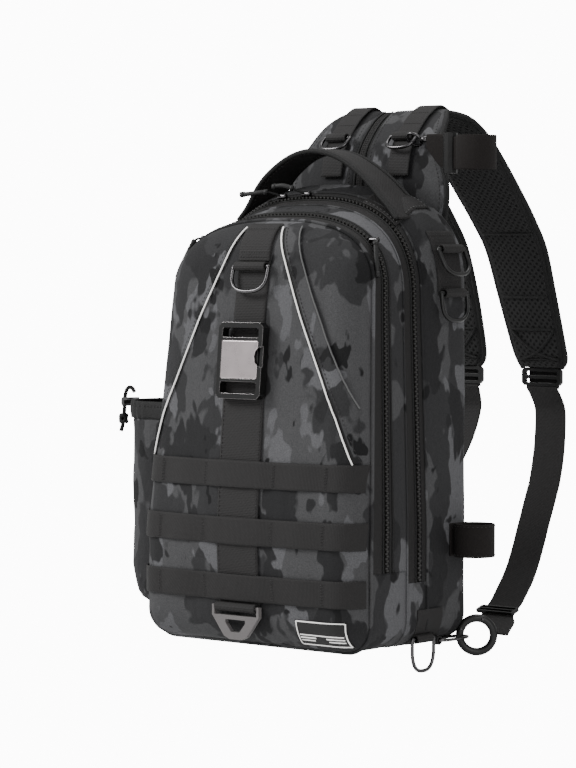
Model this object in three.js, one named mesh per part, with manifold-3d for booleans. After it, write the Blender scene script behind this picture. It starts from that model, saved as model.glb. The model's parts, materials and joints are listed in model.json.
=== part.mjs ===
// A sling backpack for fishing tackle, as an assembly of cloth shells, webbing, zips, rings and straps.
// Millimetres, +Z up. The front panel faces -Y and the wearer's back is at +Y. The bag is built with its
// base at Z = 0, and the last lines move it so that the origin is under the strap's crest, on the shoulder.
import * as THREE from 'three';
import { mergeVertices } from 'three/addons/utils/BufferGeometryUtils.js';
import Module from 'manifold-3d';

const wasm = await Module();
wasm.setup();

// Driving dimensions of the bag's body
const BAG_WIDTH = 264;
const BAG_DEPTH = 182;
const BAG_HEIGHT = 429;
const CLOTH = 2.4;
const BASE_ROUND = 26;
const FRONT_INSET = 34;
const BACK_INSET = 20;
const FACE_BULGE = 5;
const FACE_INSET = 38;
const PANEL_LEAN = 26;
const LEAN_START = 100;
const TAPER_START = 110;
const SHOULDER_POWER = 2.5;
const GAP = 0.3;

// Zips and the seams that they end at
const FRONT_ZIP_END = 72;
const MAIN_ZIP_END = 60;
const TEETH_WIDTH = 5.5;
const TEETH_HEIGHT = 1.5;
const PIPING_RADIUS = 2.1;

// Webbing on the front panel
const WEBBING = 1.6;
const STRIP_WIDTH = 50;
const UPPER_STRIP_WIDTH = 38;
const STRIP_TOP = BAG_HEIGHT - 41;
const FOLD_HEIGHT = STRIP_TOP - 36;
const ROW_WIDTH = 25;
const ROW_PITCH = 52.5;
const ROW_TOP = 172;
const ROW_COUNT = 3;
const REFLECTIVE_WIDTH = 3.4;
const LABEL_WIDTH = 54;
const LABEL_HEIGHT = 23;
const LABEL_X = BAG_WIDTH / 2 - 38;
const LABEL_Z = 18;

// Buckle on the front strip
const BUCKLE_WIDTH = 54;
const BUCKLE_HEIGHT = 71;
const BUCKLE_Z = BAG_HEIGHT - 165;
const BUCKLE_DEPTH = 9;
const BUCKLE_RAIL = 5;
const PLATE_HEIGHT = 35;

// Rings: bar radius, and the running clearance in their webbing loops
const BAR_RADIUS = 2;
const THIN_BAR = 1.8;
const BAR_CLEARANCE = 0.7;
const TRIANGLE_WIDTH = 57;
const TRIANGLE_DROP = 26;
const TRIANGLE_THICK = 4.4;
const TRIANGLE_PIVOT_Z = 36;
const SIDE_RING_WIDTH = 43;
const SIDE_RING_DROP = 28;
const SIDE_RING_HEIGHTS = [BAG_HEIGHT - 61, BAG_HEIGHT - 102];
const SIDE_RING_TILTS = [24, 6];
const SIDE_WEBBING_WIDTH = 32;
const SIDE_WEBBING_Y = BAG_DEPTH / 2 - 34;
const SIDE_WEBBING_TOP = BAG_HEIGHT - 45;
const FRONT_RING_DROP = 26;

// Bottle pocket on the left side
const POCKET_RADIUS = 42;
const POCKET_REACH = 74;
const POCKET_Y = 2;
const POCKET_BOTTOM = 21;
const POCKET_TOP = 221;
const POCKET_CLOTH = 2;
const HEM_HEIGHT = 17;
const POCKET_CORD_RADIUS = 2;

// Carry handle
const HANDLE_WIDTH = 46;
const HANDLE_THICK = 5;
const HANDLE_Y = 42;
const HANDLE_RISE = 64;
const HANDLE_SPAN = 196;

// Shoulder straps
const STRAP_THICK = 12;
const STRAP_WIDTH = 62;
const STRAP_ZIP_WIDTH = 11;
const STRAP_ZIP_X = -10;
const STRAP_WEBBING_WIDTH = 25;
const STRAP_RING_WIDTH = 35;
const STRAP_RING_DROP = 18;
const LOWER_WEBBING_WIDTH = 38;
const LOCK_WIDTH = 48;
const LOCK_HEIGHT = 18;
const LOCK_THICK = 5;
const GATE_RING_RADIUS = 16;
const GATE_RING_WIRE = 3.9;

// Rod holder straps on the right side
const ROD_LOOP_RADIUS = 19;
const ROD_LOOP_HEIGHT = 31;
const ROD_LOOP_Z = 96;
const ROD_STRAP_HEIGHT = 31;
const ROD_STRAP_Z = BAG_HEIGHT + 29;

// Sections of the body from the front seam to the back, as shares of the bag's depth, lean, half width and
// height. Each zip, gusset and seam is cut along one of these.
const STATIONS = {
  frontSeam: { depth: 0.154, lean: 1, width: 1, shoulder: 0.894, shoulderZ: 0.765, topZ: 0.918 },
  frontTapeBack: { depth: 0.33, lean: 0.58, width: 1, shoulder: 0.9, shoulderZ: 0.75, topZ: 0.937 },
  mainTapeFront: { depth: 0.451, lean: 0.46, width: 1, shoulder: 0.91, shoulderZ: 0.735, topZ: 0.953 },
  mainTapeBack: { depth: 0.615, lean: 0.12, width: 1, shoulder: 0.93, shoulderZ: 0.735, topZ: 0.981 },
  crown: { depth: 0.75, lean: 0, width: 1, shoulder: 0.985, shoulderZ: 0.755, topZ: 1 },
  backShoulder: { depth: 0.907, lean: 0, width: 1, shoulder: 0.995, shoulderZ: 0.775, topZ: 0.995 },
};
const TEETH = { front: 0.277, main: 0.544 };

// Colours and surfaces
const finish = (color, roughness, metalness = 0) => () =>
  new THREE.MeshStandardMaterial({ color, roughness, metalness });
const camo = finish(0x3a3b3c, 0.9);
const webbing = finish(0x232221, 0.85);
const tape = finish(0x1d1c1b, 0.8);
const mesh = finish(0x121212, 0.95);
const plastic = finish(0x161616, 0.45);
const grey = finish(0x6b6868, 0.5);
const steel = finish(0x55565a, 0.3, 0.9);
const silver = finish(0xc9bfc0, 0.3, 0.9);
const reflective = finish(0xe8e6e4, 0.4);

const vec = (x, y, z) => new THREE.Vector3(x, y, z);
const degrees = THREE.MathUtils.degToRad;

// A closed triangle mesh, turned so that its faces point out
function closedMesh(points, triangles) {
  let volume = 0;
  for (const [a, b, c] of triangles) {
    volume += points[a].dot(points[b].clone().cross(points[c]));
  }
  const index = triangles.flatMap(([a, b, c]) => (volume > 0 ? [a, b, c] : [a, c, b]));
  const geometry = new THREE.BufferGeometry();
  geometry.setAttribute('position', new THREE.Float32BufferAttribute(points.flatMap((p) => p.toArray()), 3));
  geometry.setIndex(index);
  return geometry;
}

// Rings of equal length joined one to the next, ended with fans or closed on themselves
function loft(rings, closed = false) {
  const count = rings[0].length;
  const points = rings.flat();
  const triangles = [];
  const steps = closed ? rings.length : rings.length - 1;
  for (let r = 0; r < steps; r += 1) {
    const here = r * count;
    const next = ((r + 1) % rings.length) * count;
    for (let i = 0; i < count; i += 1) {
      const j = (i + 1) % count;
      triangles.push([here + i, here + j, next + j], [here + i, next + j, next + i]);
    }
  }
  if (!closed) {
    const last = (rings.length - 1) * count;
    for (let i = 1; i < count - 1; i += 1) {
      triangles.push([0, i + 1, i], [last, last + i, last + i + 1]);
    }
  }
  return closedMesh(points, triangles);
}

function solid(geometry) {
  const bare = geometry.clone();
  bare.deleteAttribute('normal');
  bare.deleteAttribute('uv');
  const merged = mergeVertices(bare, 1e-4);
  return new wasm.Manifold(new wasm.Mesh({
    numProp: 3,
    vertProperties: new Float32Array(merged.attributes.position.array),
    triVerts: new Uint32Array(merged.index.array),
  }));
}

function bufferOf(shape) {
  const result = shape.getMesh();
  const geometry = new THREE.BufferGeometry();
  geometry.setAttribute('position', new THREE.BufferAttribute(new Float32Array(result.vertProperties), 3));
  geometry.setIndex(new THREE.BufferAttribute(new Uint32Array(result.triVerts), 1));
  return geometry;
}

// An outline extruded along one axis: side outlines are [y, z], front ones [x, z] and top ones [x, y]
function extruded(outline, depth, basis, holes = []) {
  const corners = outline.map(([a, b]) => new THREE.Vector2(a, b));
  const shape = new THREE.Shape(THREE.ShapeUtils.isClockWise(corners) ? corners.reverse() : corners);
  shape.holes = holes.map((hole) => new THREE.Path(hole.map(([a, b]) => new THREE.Vector2(a, b))));
  const geometry = new THREE.ExtrudeGeometry(shape, { depth, bevelEnabled: false, steps: 1 });
  return geometry.applyMatrix4(basis);
}

function sidePrism(outline, x0, x1) {
  const basis = new THREE.Matrix4().makeBasis(vec(0, 1, 0), vec(0, 0, 1), vec(1, 0, 0));
  return solid(extruded(outline, x1 - x0, basis).translate(x0, 0, 0));
}

function frontPrism(outline, y0, y1, holes = []) {
  const basis = new THREE.Matrix4().makeBasis(vec(1, 0, 0), vec(0, 0, 1), vec(0, -1, 0));
  return solid(extruded(outline, y1 - y0, basis, holes).translate(0, y1, 0));
}

function topPrism(outline, z0, z1, holes = []) {
  return solid(extruded(outline, z1 - z0, new THREE.Matrix4(), holes).translate(0, 0, z0));
}

function box(low, high) {
  const size = high.clone().sub(low);
  const middle = high.clone().add(low).multiplyScalar(0.5);
  return solid(new THREE.BoxGeometry(size.x, size.y, size.z).translate(middle.x, middle.y, middle.z));
}

// A flat strap along a path: its width runs along one direction and its edges are rounded off
function sweptStrap(path, widthAxis, widths, thickness, edge = 0.35) {
  const rings = path.map((point, i) => {
    const before = path[Math.max(i - 1, 0)];
    const after = path[Math.min(i + 1, path.length - 1)];
    const along = after.clone().sub(before).projectOnPlane(widthAxis).normalize();
    const face = along.clone().cross(widthAxis).normalize();
    const half = widths[i] / 2;
    const thick = thickness / 2;
    const corner = Math.min(thick, half) * edge * 2;
    const section = [
      [half, thick - corner], [half - corner, thick], [corner - half, thick], [-half, thick - corner],
      [-half, corner - thick], [corner - half, -thick], [half - corner, -thick], [half, corner - thick],
    ];
    return section.map(([a, b]) => point.clone().addScaledVector(widthAxis, a).addScaledVector(face, b));
  });
  return loft(rings);
}

// A wire bent along a closed flat path
function wireLoop(path, normal, radius, sides = 6) {
  const rings = path.map((point, i) => {
    const before = path[(i + path.length - 1) % path.length];
    const after = path[(i + 1) % path.length];
    const along = after.clone().sub(before).normalize();
    const outward = along.clone().cross(normal).normalize();
    return Array.from({ length: sides }, (_, k) => {
      const angle = ((k + 0.5) / sides) * Math.PI * 2;
      return point.clone()
        .addScaledVector(outward, Math.cos(angle) * radius)
        .addScaledVector(normal, Math.sin(angle) * radius);
    });
  });
  return loft(rings, true);
}

// A cord along an open curve
function cordTube(points, radius, sides, steps) {
  const section = new THREE.Shape(Array.from({ length: sides }, (_, k) => {
    const angle = (k / sides) * Math.PI * 2;
    return new THREE.Vector2(Math.cos(angle) * radius, Math.sin(angle) * radius);
  }));
  const extrudePath = new THREE.CatmullRomCurve3(points);
  return new THREE.ExtrudeGeometry(section, { steps, bevelEnabled: false, extrudePath });
}

// The bag's body
const leanTop = STATIONS.frontSeam.topZ * BAG_HEIGHT;
const leanAt = (z) => PANEL_LEAN * Math.max(0, (z - LEAN_START) / (leanTop - LEAN_START));
const depthAt = (share) => (share - 0.5) * BAG_DEPTH;
const seamY = (row, z) => depthAt(row.depth) + row.lean * leanAt(z);

// Half of one section, from the bottom centre round the right side to the top centre, as [x, z]
function halfSection(row, grow, inset) {
  const reach = grow - inset;
  const base = -reach;
  const foot = (row.width * BAG_WIDTH) / 2 + reach;
  const shoulder = (row.shoulder * BAG_WIDTH) / 2 + reach;
  const shoulderZ = row.shoulderZ * BAG_HEIGHT;
  const top = row.topZ * BAG_HEIGHT + reach;
  const round = Math.max(BASE_ROUND + reach, 8);
  const points = [[0, base], [foot - round, base]];
  for (const angle of [30, 60, 90].map(degrees)) {
    points.push([foot - round + round * Math.sin(angle), base + round - round * Math.cos(angle)]);
  }
  const sideFoot = base + round;
  for (const share of [0.12, 0.3, 0.5, 0.7, 0.86, 1]) {
    const z = sideFoot + share * (shoulderZ - sideFoot);
    const taper = Math.max(0, (z - TAPER_START) / (shoulderZ - TAPER_START));
    points.push([foot + (shoulder - foot) * taper, z]);
  }
  for (const angle of [14, 28, 42, 56, 72].map(degrees)) {
    const x = shoulder * Math.cos(angle) ** (2 / SHOULDER_POWER);
    points.push([x, shoulderZ + (top - shoulderZ) * Math.sin(angle) ** (2 / SHOULDER_POWER)]);
  }
  points.push([0, top]);
  return points;
}

function sectionRing(row, grow, inset = 0, shift = 0) {
  const half = halfSection(row, grow, inset);
  const left = half.slice(1, -1).reverse().map(([x, z]) => [-x, z]);
  return [...half, ...left].map(([x, z]) => vec(x, seamY(row, z) + shift, z));
}

// The rings of the whole body, grown outwards or shrunk inwards: front face, front edge, sides, back
function bodyRings(grow) {
  const { frontSeam, backShoulder } = STATIONS;
  const frontRound = frontSeam.depth * BAG_DEPTH;
  const backRound = (1 - backShoulder.depth) * BAG_DEPTH;
  const rings = [sectionRing(frontSeam, grow, FRONT_INSET + FACE_INSET, -frontRound - grow - FACE_BULGE)];
  for (const angle of [90, 60, 30].map(degrees)) {
    const inset = FRONT_INSET * (1 - Math.cos(angle));
    rings.push(sectionRing(frontSeam, grow, inset, -(frontRound + grow) * Math.sin(angle)));
  }
  rings.push(...Object.values(STATIONS).map((row) => sectionRing(row, grow)));
  for (const angle of [45, 90].map(degrees)) {
    const inset = BACK_INSET * (1 - Math.cos(angle));
    rings.push(sectionRing(backShoulder, grow, inset, (backRound + grow) * Math.sin(angle)));
  }
  return rings;
}

// The first and last rings are closed with level rungs from the right side to the left
function bodySolid(grow) {
  const rings = bodyRings(grow);
  const count = rings[0].length;
  const half = count / 2;
  const points = rings.flat();
  const triangles = [];
  for (let r = 0; r < rings.length - 1; r += 1) {
    for (let i = 0; i < count; i += 1) {
      const j = (i + 1) % count;
      const [here, next] = [r * count, (r + 1) * count];
      triangles.push([here + i, here + j, next + j], [here + i, next + j, next + i]);
    }
  }
  const last = (rings.length - 1) * count;
  for (const [start, turn] of [[0, false], [last, true]]) {
    for (let i = 0; i < half; i += 1) {
      const right = [start + i, start + i + 1];
      const left = [start + ((count - i) % count), start + ((count - i - 1) % count)];
      const rung = [[right[0], left[1], right[1]], [right[0], left[0], left[1]]];
      for (const [a, b, c] of rung) {
        if (a !== b && b !== c && a !== c) {
          triangles.push(turn ? [a, c, b] : [a, b, c]);
        }
      }
    }
  }
  return solid(closedMesh(points, triangles));
}

const grown = new Map();
function body(grow) {
  if (!grown.has(grow)) {
    grown.set(grow, bodySolid(grow));
  }
  return grown.get(grow);
}
const layer = (inner, outer) => body(outer).subtract(body(inner));

// Everything between two seams: each seam is a line in the side view, moved by half a gap
const FAR = 600;
function seamLine(row, shift) {
  return [-FAR / 6, LEAN_START, FAR].map((z) => [seamY(row, z) + shift, z]);
}
function between(front, back) {
  const open = [[-FAR, -FAR / 6], [-FAR, FAR]];
  const shut = [[FAR, FAR], [FAR, -FAR / 6]];
  const start = front ? seamLine(front, GAP / 2) : open;
  const end = back ? seamLine(back, -GAP / 2).reverse() : shut;
  return sidePrism([...start, ...end].reverse(), -FAR, FAR);
}
const above = (z) => box(vec(-FAR, -FAR, z + GAP / 2), vec(FAR, FAR, FAR * 2));
const below = (z) => box(vec(-FAR, -FAR, -FAR), vec(FAR, FAR, z - GAP / 2));
const rectangle = (x0, x1, z0, z1) => [[x0, z0], [x1, z0], [x1, z1], [x0, z1]];
const frontWindow = (x0, x1, z0, z1) => frontPrism(rectangle(x0, x1, z0, z1), -FAR, 0);

const parts = new THREE.Group();
function add(name, geometry, material) {
  const piece = new THREE.Mesh(geometry.getMesh ? bufferOf(geometry) : geometry, material());
  piece.name = name;
  parts.add(piece);
  return piece;
}

// Cloth shells of the body
const { frontSeam, frontTapeBack, mainTapeFront, mainTapeBack } = STATIONS;
const shell = layer(-CLOTH, 0);
const inFront = between(null, frontSeam);
add('front_panel', shell.intersect(inFront), camo);

function teethRow(share, rowA, rowB, zipEnd) {
  const mix = (share - rowA.depth) / (rowB.depth - rowA.depth);
  const lean = rowA.lean + mix * (rowB.lean - rowA.lean);
  const line = { depth: share, lean };
  const half = TEETH_WIDTH / 2;
  const strip = sidePrism([...seamLine(line, half), ...seamLine(line, -half).reverse()], -FAR, FAR);
  return layer(-CLOTH / 2, TEETH_HEIGHT).intersect(strip).intersect(above(zipEnd));
}
const frontTape = shell.intersect(between(frontSeam, frontTapeBack)).intersect(above(FRONT_ZIP_END));
add('front_zipper', frontTape.add(teethRow(TEETH.front, frontSeam, frontTapeBack, FRONT_ZIP_END)), tape);
const gusset = shell.intersect(between(frontTapeBack, mainTapeFront)).intersect(above(FRONT_ZIP_END));
add('front_gusset', gusset, camo);
const mainTape = shell.intersect(between(mainTapeFront, mainTapeBack)).intersect(above(MAIN_ZIP_END));
add('main_zipper', mainTape.add(teethRow(TEETH.main, mainTapeFront, mainTapeBack, MAIN_ZIP_END)), tape);
const baseFront = shell.intersect(between(frontSeam, mainTapeFront)).intersect(below(FRONT_ZIP_END));
const baseBack = shell.intersect(between(mainTapeFront, mainTapeBack)).intersect(below(MAIN_ZIP_END));
const seamFill = layer(-CLOTH, 0).intersect(below(MAIN_ZIP_END)).intersect(sidePrism([
  ...seamLine(mainTapeFront, GAP), ...seamLine(mainTapeFront, -GAP).reverse()], -FAR, FAR));
add('base_gusset', baseFront.add(baseBack).add(seamFill), camo);
add('main_body', shell.intersect(between(mainTapeBack, null)), camo);

// Piping on the front seam, all the way round
const pipingPath = sectionRing(frontSeam, 0.7);
const pipingRing = pipingPath.map((point, i) => {
  const before = pipingPath[(i + pipingPath.length - 1) % pipingPath.length];
  const after = pipingPath[(i + 1) % pipingPath.length];
  const along = after.clone().sub(before).normalize();
  const outward = along.clone().cross(vec(0, 1, 0)).normalize();
  return Array.from({ length: 5 }, (_, k) => {
    const angle = ((k + 0.5) / 5) * Math.PI * 2;
    return point.clone()
      .addScaledVector(outward, Math.cos(angle) * PIPING_RADIUS)
      .add(vec(0, Math.sin(angle) * PIPING_RADIUS, 0));
  });
});
add('front_piping', solid(loft(pipingRing, true)).subtract(body(GAP)), camo);

// The flat back panel that lies on the wearer's back
const backFace = depthAt(1);
const PAD_HALF = BAG_WIDTH / 2 - 28;
const PAD_LOW = 34;
const PAD_TOP = BAG_HEIGHT - 53;
const PAD_CORNER = 10;
const padHalf = [
  [PAD_HALF - 6, PAD_LOW], [PAD_HALF, PAD_LOW + PAD_CORNER], [PAD_HALF, PAD_TOP - 126],
  [PAD_HALF - 20, PAD_TOP - 26], [PAD_HALF - 42, PAD_TOP],
];
const backOutline = [...padHalf, ...padHalf.map(([x, z]) => [-x, z]).reverse()];
const BACK_PAD = 9;
add('back_panel', frontPrism(backOutline, backFace + GAP, backFace + GAP + BACK_PAD), mesh);

// Front webbing: the middle strip with a fold at its top and a loop at its foot, and the rows across it
const frontProfile = [];
for (const ring of bodyRings(0).slice(0, 5)) {
  const half = ring.length / 2;
  frontProfile.push([ring[0].z, ring[0].y], [ring[half].z, ring[half].y]);
}
const faceRing = bodyRings(0)[0];
for (let i = 1; i < faceRing.length / 2; i += 1) {
  frontProfile.push([faceRing[i].z, faceRing[i].y]);
}
frontProfile.sort((a, b) => a[0] - b[0]);
function faceY(z) {
  const next = frontProfile.findIndex(([height]) => height > z);
  const [[z0, y0], [z1, y1]] = [frontProfile[next - 1], frontProfile[next]];
  return y0 + ((y1 - y0) * (z - z0)) / (z1 - z0);
}

// A tube of webbing round a bar that runs along X, and the same tube turned onto a side
const LOOP_INNER = BAR_RADIUS + BAR_CLEARANCE;
const LOOP_OUTER = LOOP_INNER + WEBBING;
function webbingLoop(width, sides = 8) {
  const circle = (radius) => Array.from({ length: sides }, (_, k) => {
    const angle = (k / sides) * Math.PI * 2;
    return [Math.cos(angle) * radius, Math.sin(angle) * radius];
  });
  const basis = new THREE.Matrix4().makeBasis(vec(0, 1, 0), vec(0, 0, 1), vec(1, 0, 0));
  const inner = circle(LOOP_INNER / Math.cos(Math.PI / sides));
  return solid(extruded(circle(LOOP_OUTER), width, basis, [inner]).translate(-width / 2, 0, 0));
}
const moved = (shape, x, y, z) => shape.translate([x, y, z]);

const stripHalf = STRIP_WIDTH / 2;
const loopStand = GAP + LOOP_OUTER;
const trianglePivot = vec(0, faceY(TRIANGLE_PIVOT_Z) - loopStand - 0.4, TRIANGLE_PIVOT_Z);
const frontRingPivot = vec(0, faceY(FOLD_HEIGHT) - loopStand - 0.8, FOLD_HEIGHT);
const upperHalf = UPPER_STRIP_WIDTH / 2;
const stripFlat = layer(GAP, GAP + WEBBING)
  .intersect(frontWindow(-stripHalf, stripHalf, TRIANGLE_PIVOT_Z - 1, BUCKLE_Z)
    .add(frontWindow(-upperHalf, upperHalf, BUCKLE_Z - 1, STRIP_TOP))).intersect(inFront);
const foldOver = layer(GAP, 2 * (GAP + WEBBING))
  .intersect(frontWindow(-upperHalf, upperHalf, FOLD_HEIGHT + LOOP_OUTER - 1, STRIP_TOP)).intersect(inFront);
const stripLoops = moved(webbingLoop(STRIP_WIDTH - 1), trianglePivot.x, trianglePivot.y, trianglePivot.z)
  .add(moved(webbingLoop(UPPER_STRIP_WIDTH - 1), frontRingPivot.x, frontRingPivot.y, frontRingPivot.z));
add('front_strip', stripFlat.add(foldOver).add(stripLoops.subtract(body(1.5 * GAP))), webbing);

const lift = GAP + WEBBING + GAP;
for (let i = 0; i < ROW_COUNT; i += 1) {
  const top = ROW_TOP - i * ROW_PITCH;
  const base = top - ROW_WIDTH;
  const clear = stripHalf + GAP;
  const edge = BAG_WIDTH;
  const low = layer(GAP, GAP + WEBBING).intersect(frontWindow(-edge, edge, base, top));
  const high = layer(lift, lift + WEBBING).intersect(frontWindow(-clear - 3, clear + 3, base, top));
  const steps = layer(GAP, lift + WEBBING).intersect(
    frontWindow(-clear - 3, -clear, base, top).add(frontWindow(clear, clear + 3, base, top)));
  const middle = frontWindow(-clear, clear, base - 1, top + 1);
  const trimmed = between(null, { ...frontSeam, depth: frontSeam.depth - 0.018 });
  add(`webbing_row_${i + 1}`, low.subtract(middle).add(high).add(steps).intersect(trimmed), webbing);
}

// Reflective piping lines, from the top of the strip down to the seam on each side
const reflectiveLine = [
  [22, STRIP_TOP - 1], [BAG_WIDTH / 2 - 27, ROW_TOP + 40], [BAG_WIDTH / 2 - 5, ROW_TOP - 32],
];
for (const [side, name] of [[-1, 'left'], [1, 'right']]) {
  const outer = reflectiveLine.map(([x, z]) => [side * (x + REFLECTIVE_WIDTH / 2), z]);
  const inner = reflectiveLine.map(([x, z]) => [side * (x - REFLECTIVE_WIDTH / 2), z]).reverse();
  const outline = side > 0 ? [...outer, ...inner].reverse() : [...outer, ...inner];
  const line = layer(2 * GAP, 2 * GAP + REFLECTIVE_WIDTH * 0.6)
    .intersect(frontPrism(outline, -FAR, 0))
    .intersect(between(null, { ...frontSeam, depth: frontSeam.depth - 0.018 }))
    .intersect(above(ROW_TOP + GAP))
    .subtract(frontWindow(-upperHalf - GAP, upperHalf + GAP, 0, FAR));
  add(`reflective_piping_${name}`, line, reflective);
}
const labelLow = LABEL_Z - LABEL_HEIGHT / 2;
const labelWindow = frontWindow(LABEL_X - LABEL_WIDTH / 2, LABEL_X + LABEL_WIDTH / 2, labelLow,
  labelLow + LABEL_HEIGHT);
add('label_patch', layer(GAP, GAP + 1).intersect(labelWindow).intersect(
  between(null, { ...frontSeam, depth: frontSeam.depth - 0.03 })), webbing);

// The side-release buckle lies on the strip at the slope of the panel: a railed frame with a metal plate
// between its two slots
const faceRise = faceY(BUCKLE_Z + BUCKLE_HEIGHT / 2) - faceY(BUCKLE_Z - BUCKLE_HEIGHT / 2);
const buckleSlope = (Math.atan2(faceRise, BUCKLE_HEIGHT) * 180) / Math.PI;
const buckleBack = faceY(BUCKLE_Z) - (GAP + WEBBING + GAP);
const seated = (shape) => shape.rotate([-buckleSlope, 0, 0]).translate([0, buckleBack, BUCKLE_Z]);
const buckleHalf = BUCKLE_WIDTH / 2;
const slotHalf = buckleHalf - BUCKLE_RAIL;
const halfHeight = BUCKLE_HEIGHT / 2;
const plateLow = 1 - PLATE_HEIGHT / 2;
const plateHigh = plateLow + PLATE_HEIGHT;
const PLATE_RECESS = 2;
const rounded = (half, low, high, r) => [
  [-half + r, low], [half - r, low], [half, low + r], [half, high - r],
  [half - r, high], [-half + r, high], [-half, high - r], [-half, low + r],
];
const slots = [
  rounded(slotHalf, BUCKLE_RAIL - halfHeight, plateLow - 3, 1.5),
  rounded(slotHalf, plateHigh + 3, halfHeight - BUCKLE_RAIL, 1.5),
];
const thumbNotch = (reach) => Array.from({ length: 12 }, (_, k) => {
  const angle = (k / 12) * Math.PI * 2;
  return [buckleHalf + 1 + Math.cos(angle) * reach, 4 + Math.sin(angle) * reach];
});
const THUMB_RADIUS = 10;
const recess = PLATE_RECESS - BUCKLE_DEPTH;
const buckle = frontPrism(rounded(buckleHalf, -halfHeight, halfHeight, 4), -BUCKLE_DEPTH, 0, slots)
  .subtract(frontPrism(rounded(slotHalf + GAP, plateLow - GAP, plateHigh + GAP, 1), -FAR, recess + GAP))
  .subtract(frontPrism(thumbNotch(THUMB_RADIUS), -FAR, recess));
const plate = frontPrism(rounded(slotHalf, plateLow, plateHigh, 1), -BUCKLE_DEPTH - 0.4, recess)
  .subtract(frontPrism(thumbNotch(THUMB_RADIUS + GAP), -FAR, 0));
add('buckle_frame', seated(buckle).subtract(body(2 * GAP + WEBBING)), plastic);
add('buckle_plate', seated(plate), silver);

// Rings hang from a bar along X with the bow towards -Z
function dPath(width, drop, radius) {
  const half = width / 2 - radius;
  const bow = drop - radius;
  const shape = [[-half, 0], [-half * 0.5, 0], [half * 0.5, 0], [half, 0]];
  const arc = Array.from({ length: 9 }, (_, k) => {
    const angle = (k / 8) * Math.PI;
    const power = 2 / 2.6;
    const x = half * Math.sign(Math.cos(angle)) * Math.abs(Math.cos(angle)) ** power;
    return [x, -bow * (0.3 + 0.7 * Math.sin(angle) ** power)];
  });
  return [...shape, ...arc].map(([x, z]) => vec(x, 0, z));
}
const dRing = (width, drop, radius = BAR_RADIUS) => wireLoop(dPath(width, drop, radius), vec(0, 1, 0), radius);

function placed(geometry, pivot, turn = 0, tilt = 0) {
  const matrix = new THREE.Matrix4().makeRotationZ(degrees(turn))
    .multiply(new THREE.Matrix4().makeRotationX(degrees(-tilt)));
  return geometry.applyMatrix4(matrix).translate(pivot.x, pivot.y, pivot.z);
}
add('front_d_ring', placed(dRing(UPPER_STRIP_WIDTH + 8, FRONT_RING_DROP, THIN_BAR), frontRingPivot, 0, 15), steel);

const armX = TRIANGLE_WIDTH / 2;
const innerX = stripHalf + 0.6;
const triangleOutline = [
  [-armX, 1.5], [-armX, -8], [-14, -TRIANGLE_DROP - 1], [-7, -TRIANGLE_DROP - 4], [7, -TRIANGLE_DROP - 4],
  [14, -TRIANGLE_DROP - 1], [armX, -8], [armX, 1.5], [innerX, 1.5], [innerX, -7.5],
  [-innerX, -7.5], [-innerX, 1.5],
];
const triangleHole = [[-12, -11.5], [12, -11.5], [12, -14.5], [5, -23], [-5, -23], [-12, -14.5]];
const thick = TRIANGLE_THICK / 2;
const bar = solid(new THREE.CylinderGeometry(BAR_RADIUS, BAR_RADIUS, TRIANGLE_WIDTH - 3, 10)
  .rotateZ(Math.PI / 2));
const triangle = frontPrism(triangleOutline, -thick, thick, [triangleHole]).add(bar);
add('triangle_ring', placed(bufferOf(triangle), trianglePivot), grey);

// Webbing and two rings on each side of the main compartment
function sideX(y, z) {
  const rows = Object.values(STATIONS);
  const after = rows.findIndex((row) => depthAt(row.depth) > y);
  const widths = [rows[after - 1], rows[after]].map((row) => {
    const points = halfSection(row, 0, 0);
    const next = points.findIndex(([x, height], i) => i > 2 && height > z);
    const [[x0, z0], [x1, z1]] = [points[next - 1], points[next]];
    return x0 + ((x1 - x0) * (z - z0)) / (z1 - z0);
  });
  const [y0, y1] = [depthAt(rows[after - 1].depth), depthAt(rows[after].depth)];
  return widths[0] + ((widths[1] - widths[0]) * (y - y0)) / (y1 - y0);
}
const sideEdges = [SIDE_WEBBING_Y - SIDE_WEBBING_WIDTH / 2, SIDE_WEBBING_Y + SIDE_WEBBING_WIDTH / 2];
for (const [side, name] of [[-1, 'left'], [1, 'right']]) {
  const pivots = SIDE_RING_HEIGHTS.map((z) => {
    const reach = Math.max(...sideEdges.map((y) => Math.max(sideX(y, z), sideX(y, z - LOOP_OUTER))));
    return vec(side * (reach + loopStand), SIDE_WEBBING_Y, z);
  });
  const low = SIDE_RING_HEIGHTS[1];
  const window = side > 0 ? [60, FAR] : [-FAR, -60];
  const outline = [[sideEdges[0], low], [sideEdges[1], low],
    [sideEdges[1], SIDE_WEBBING_TOP], [sideEdges[0], SIDE_WEBBING_TOP]];
  let band = layer(GAP, GAP + WEBBING + 0.6).intersect(sidePrism(outline, ...window));
  for (const pivot of pivots) {
    const loop = webbingLoop(SIDE_WEBBING_WIDTH - 1).rotate([0, 0, side * 90]);
    band = band.add(moved(loop, pivot.x, pivot.y, pivot.z));
  }
  add(`side_webbing_${name}`, band.subtract(body(GAP)), webbing);
  pivots.forEach((pivot, i) => {
    const ring = dRing(SIDE_RING_WIDTH, SIDE_RING_DROP);
    add(`side_ring_${['upper', 'lower'][i]}_${name}`, placed(ring, pivot, side * 90, SIDE_RING_TILTS[i]), plastic);
  });
}

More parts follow.
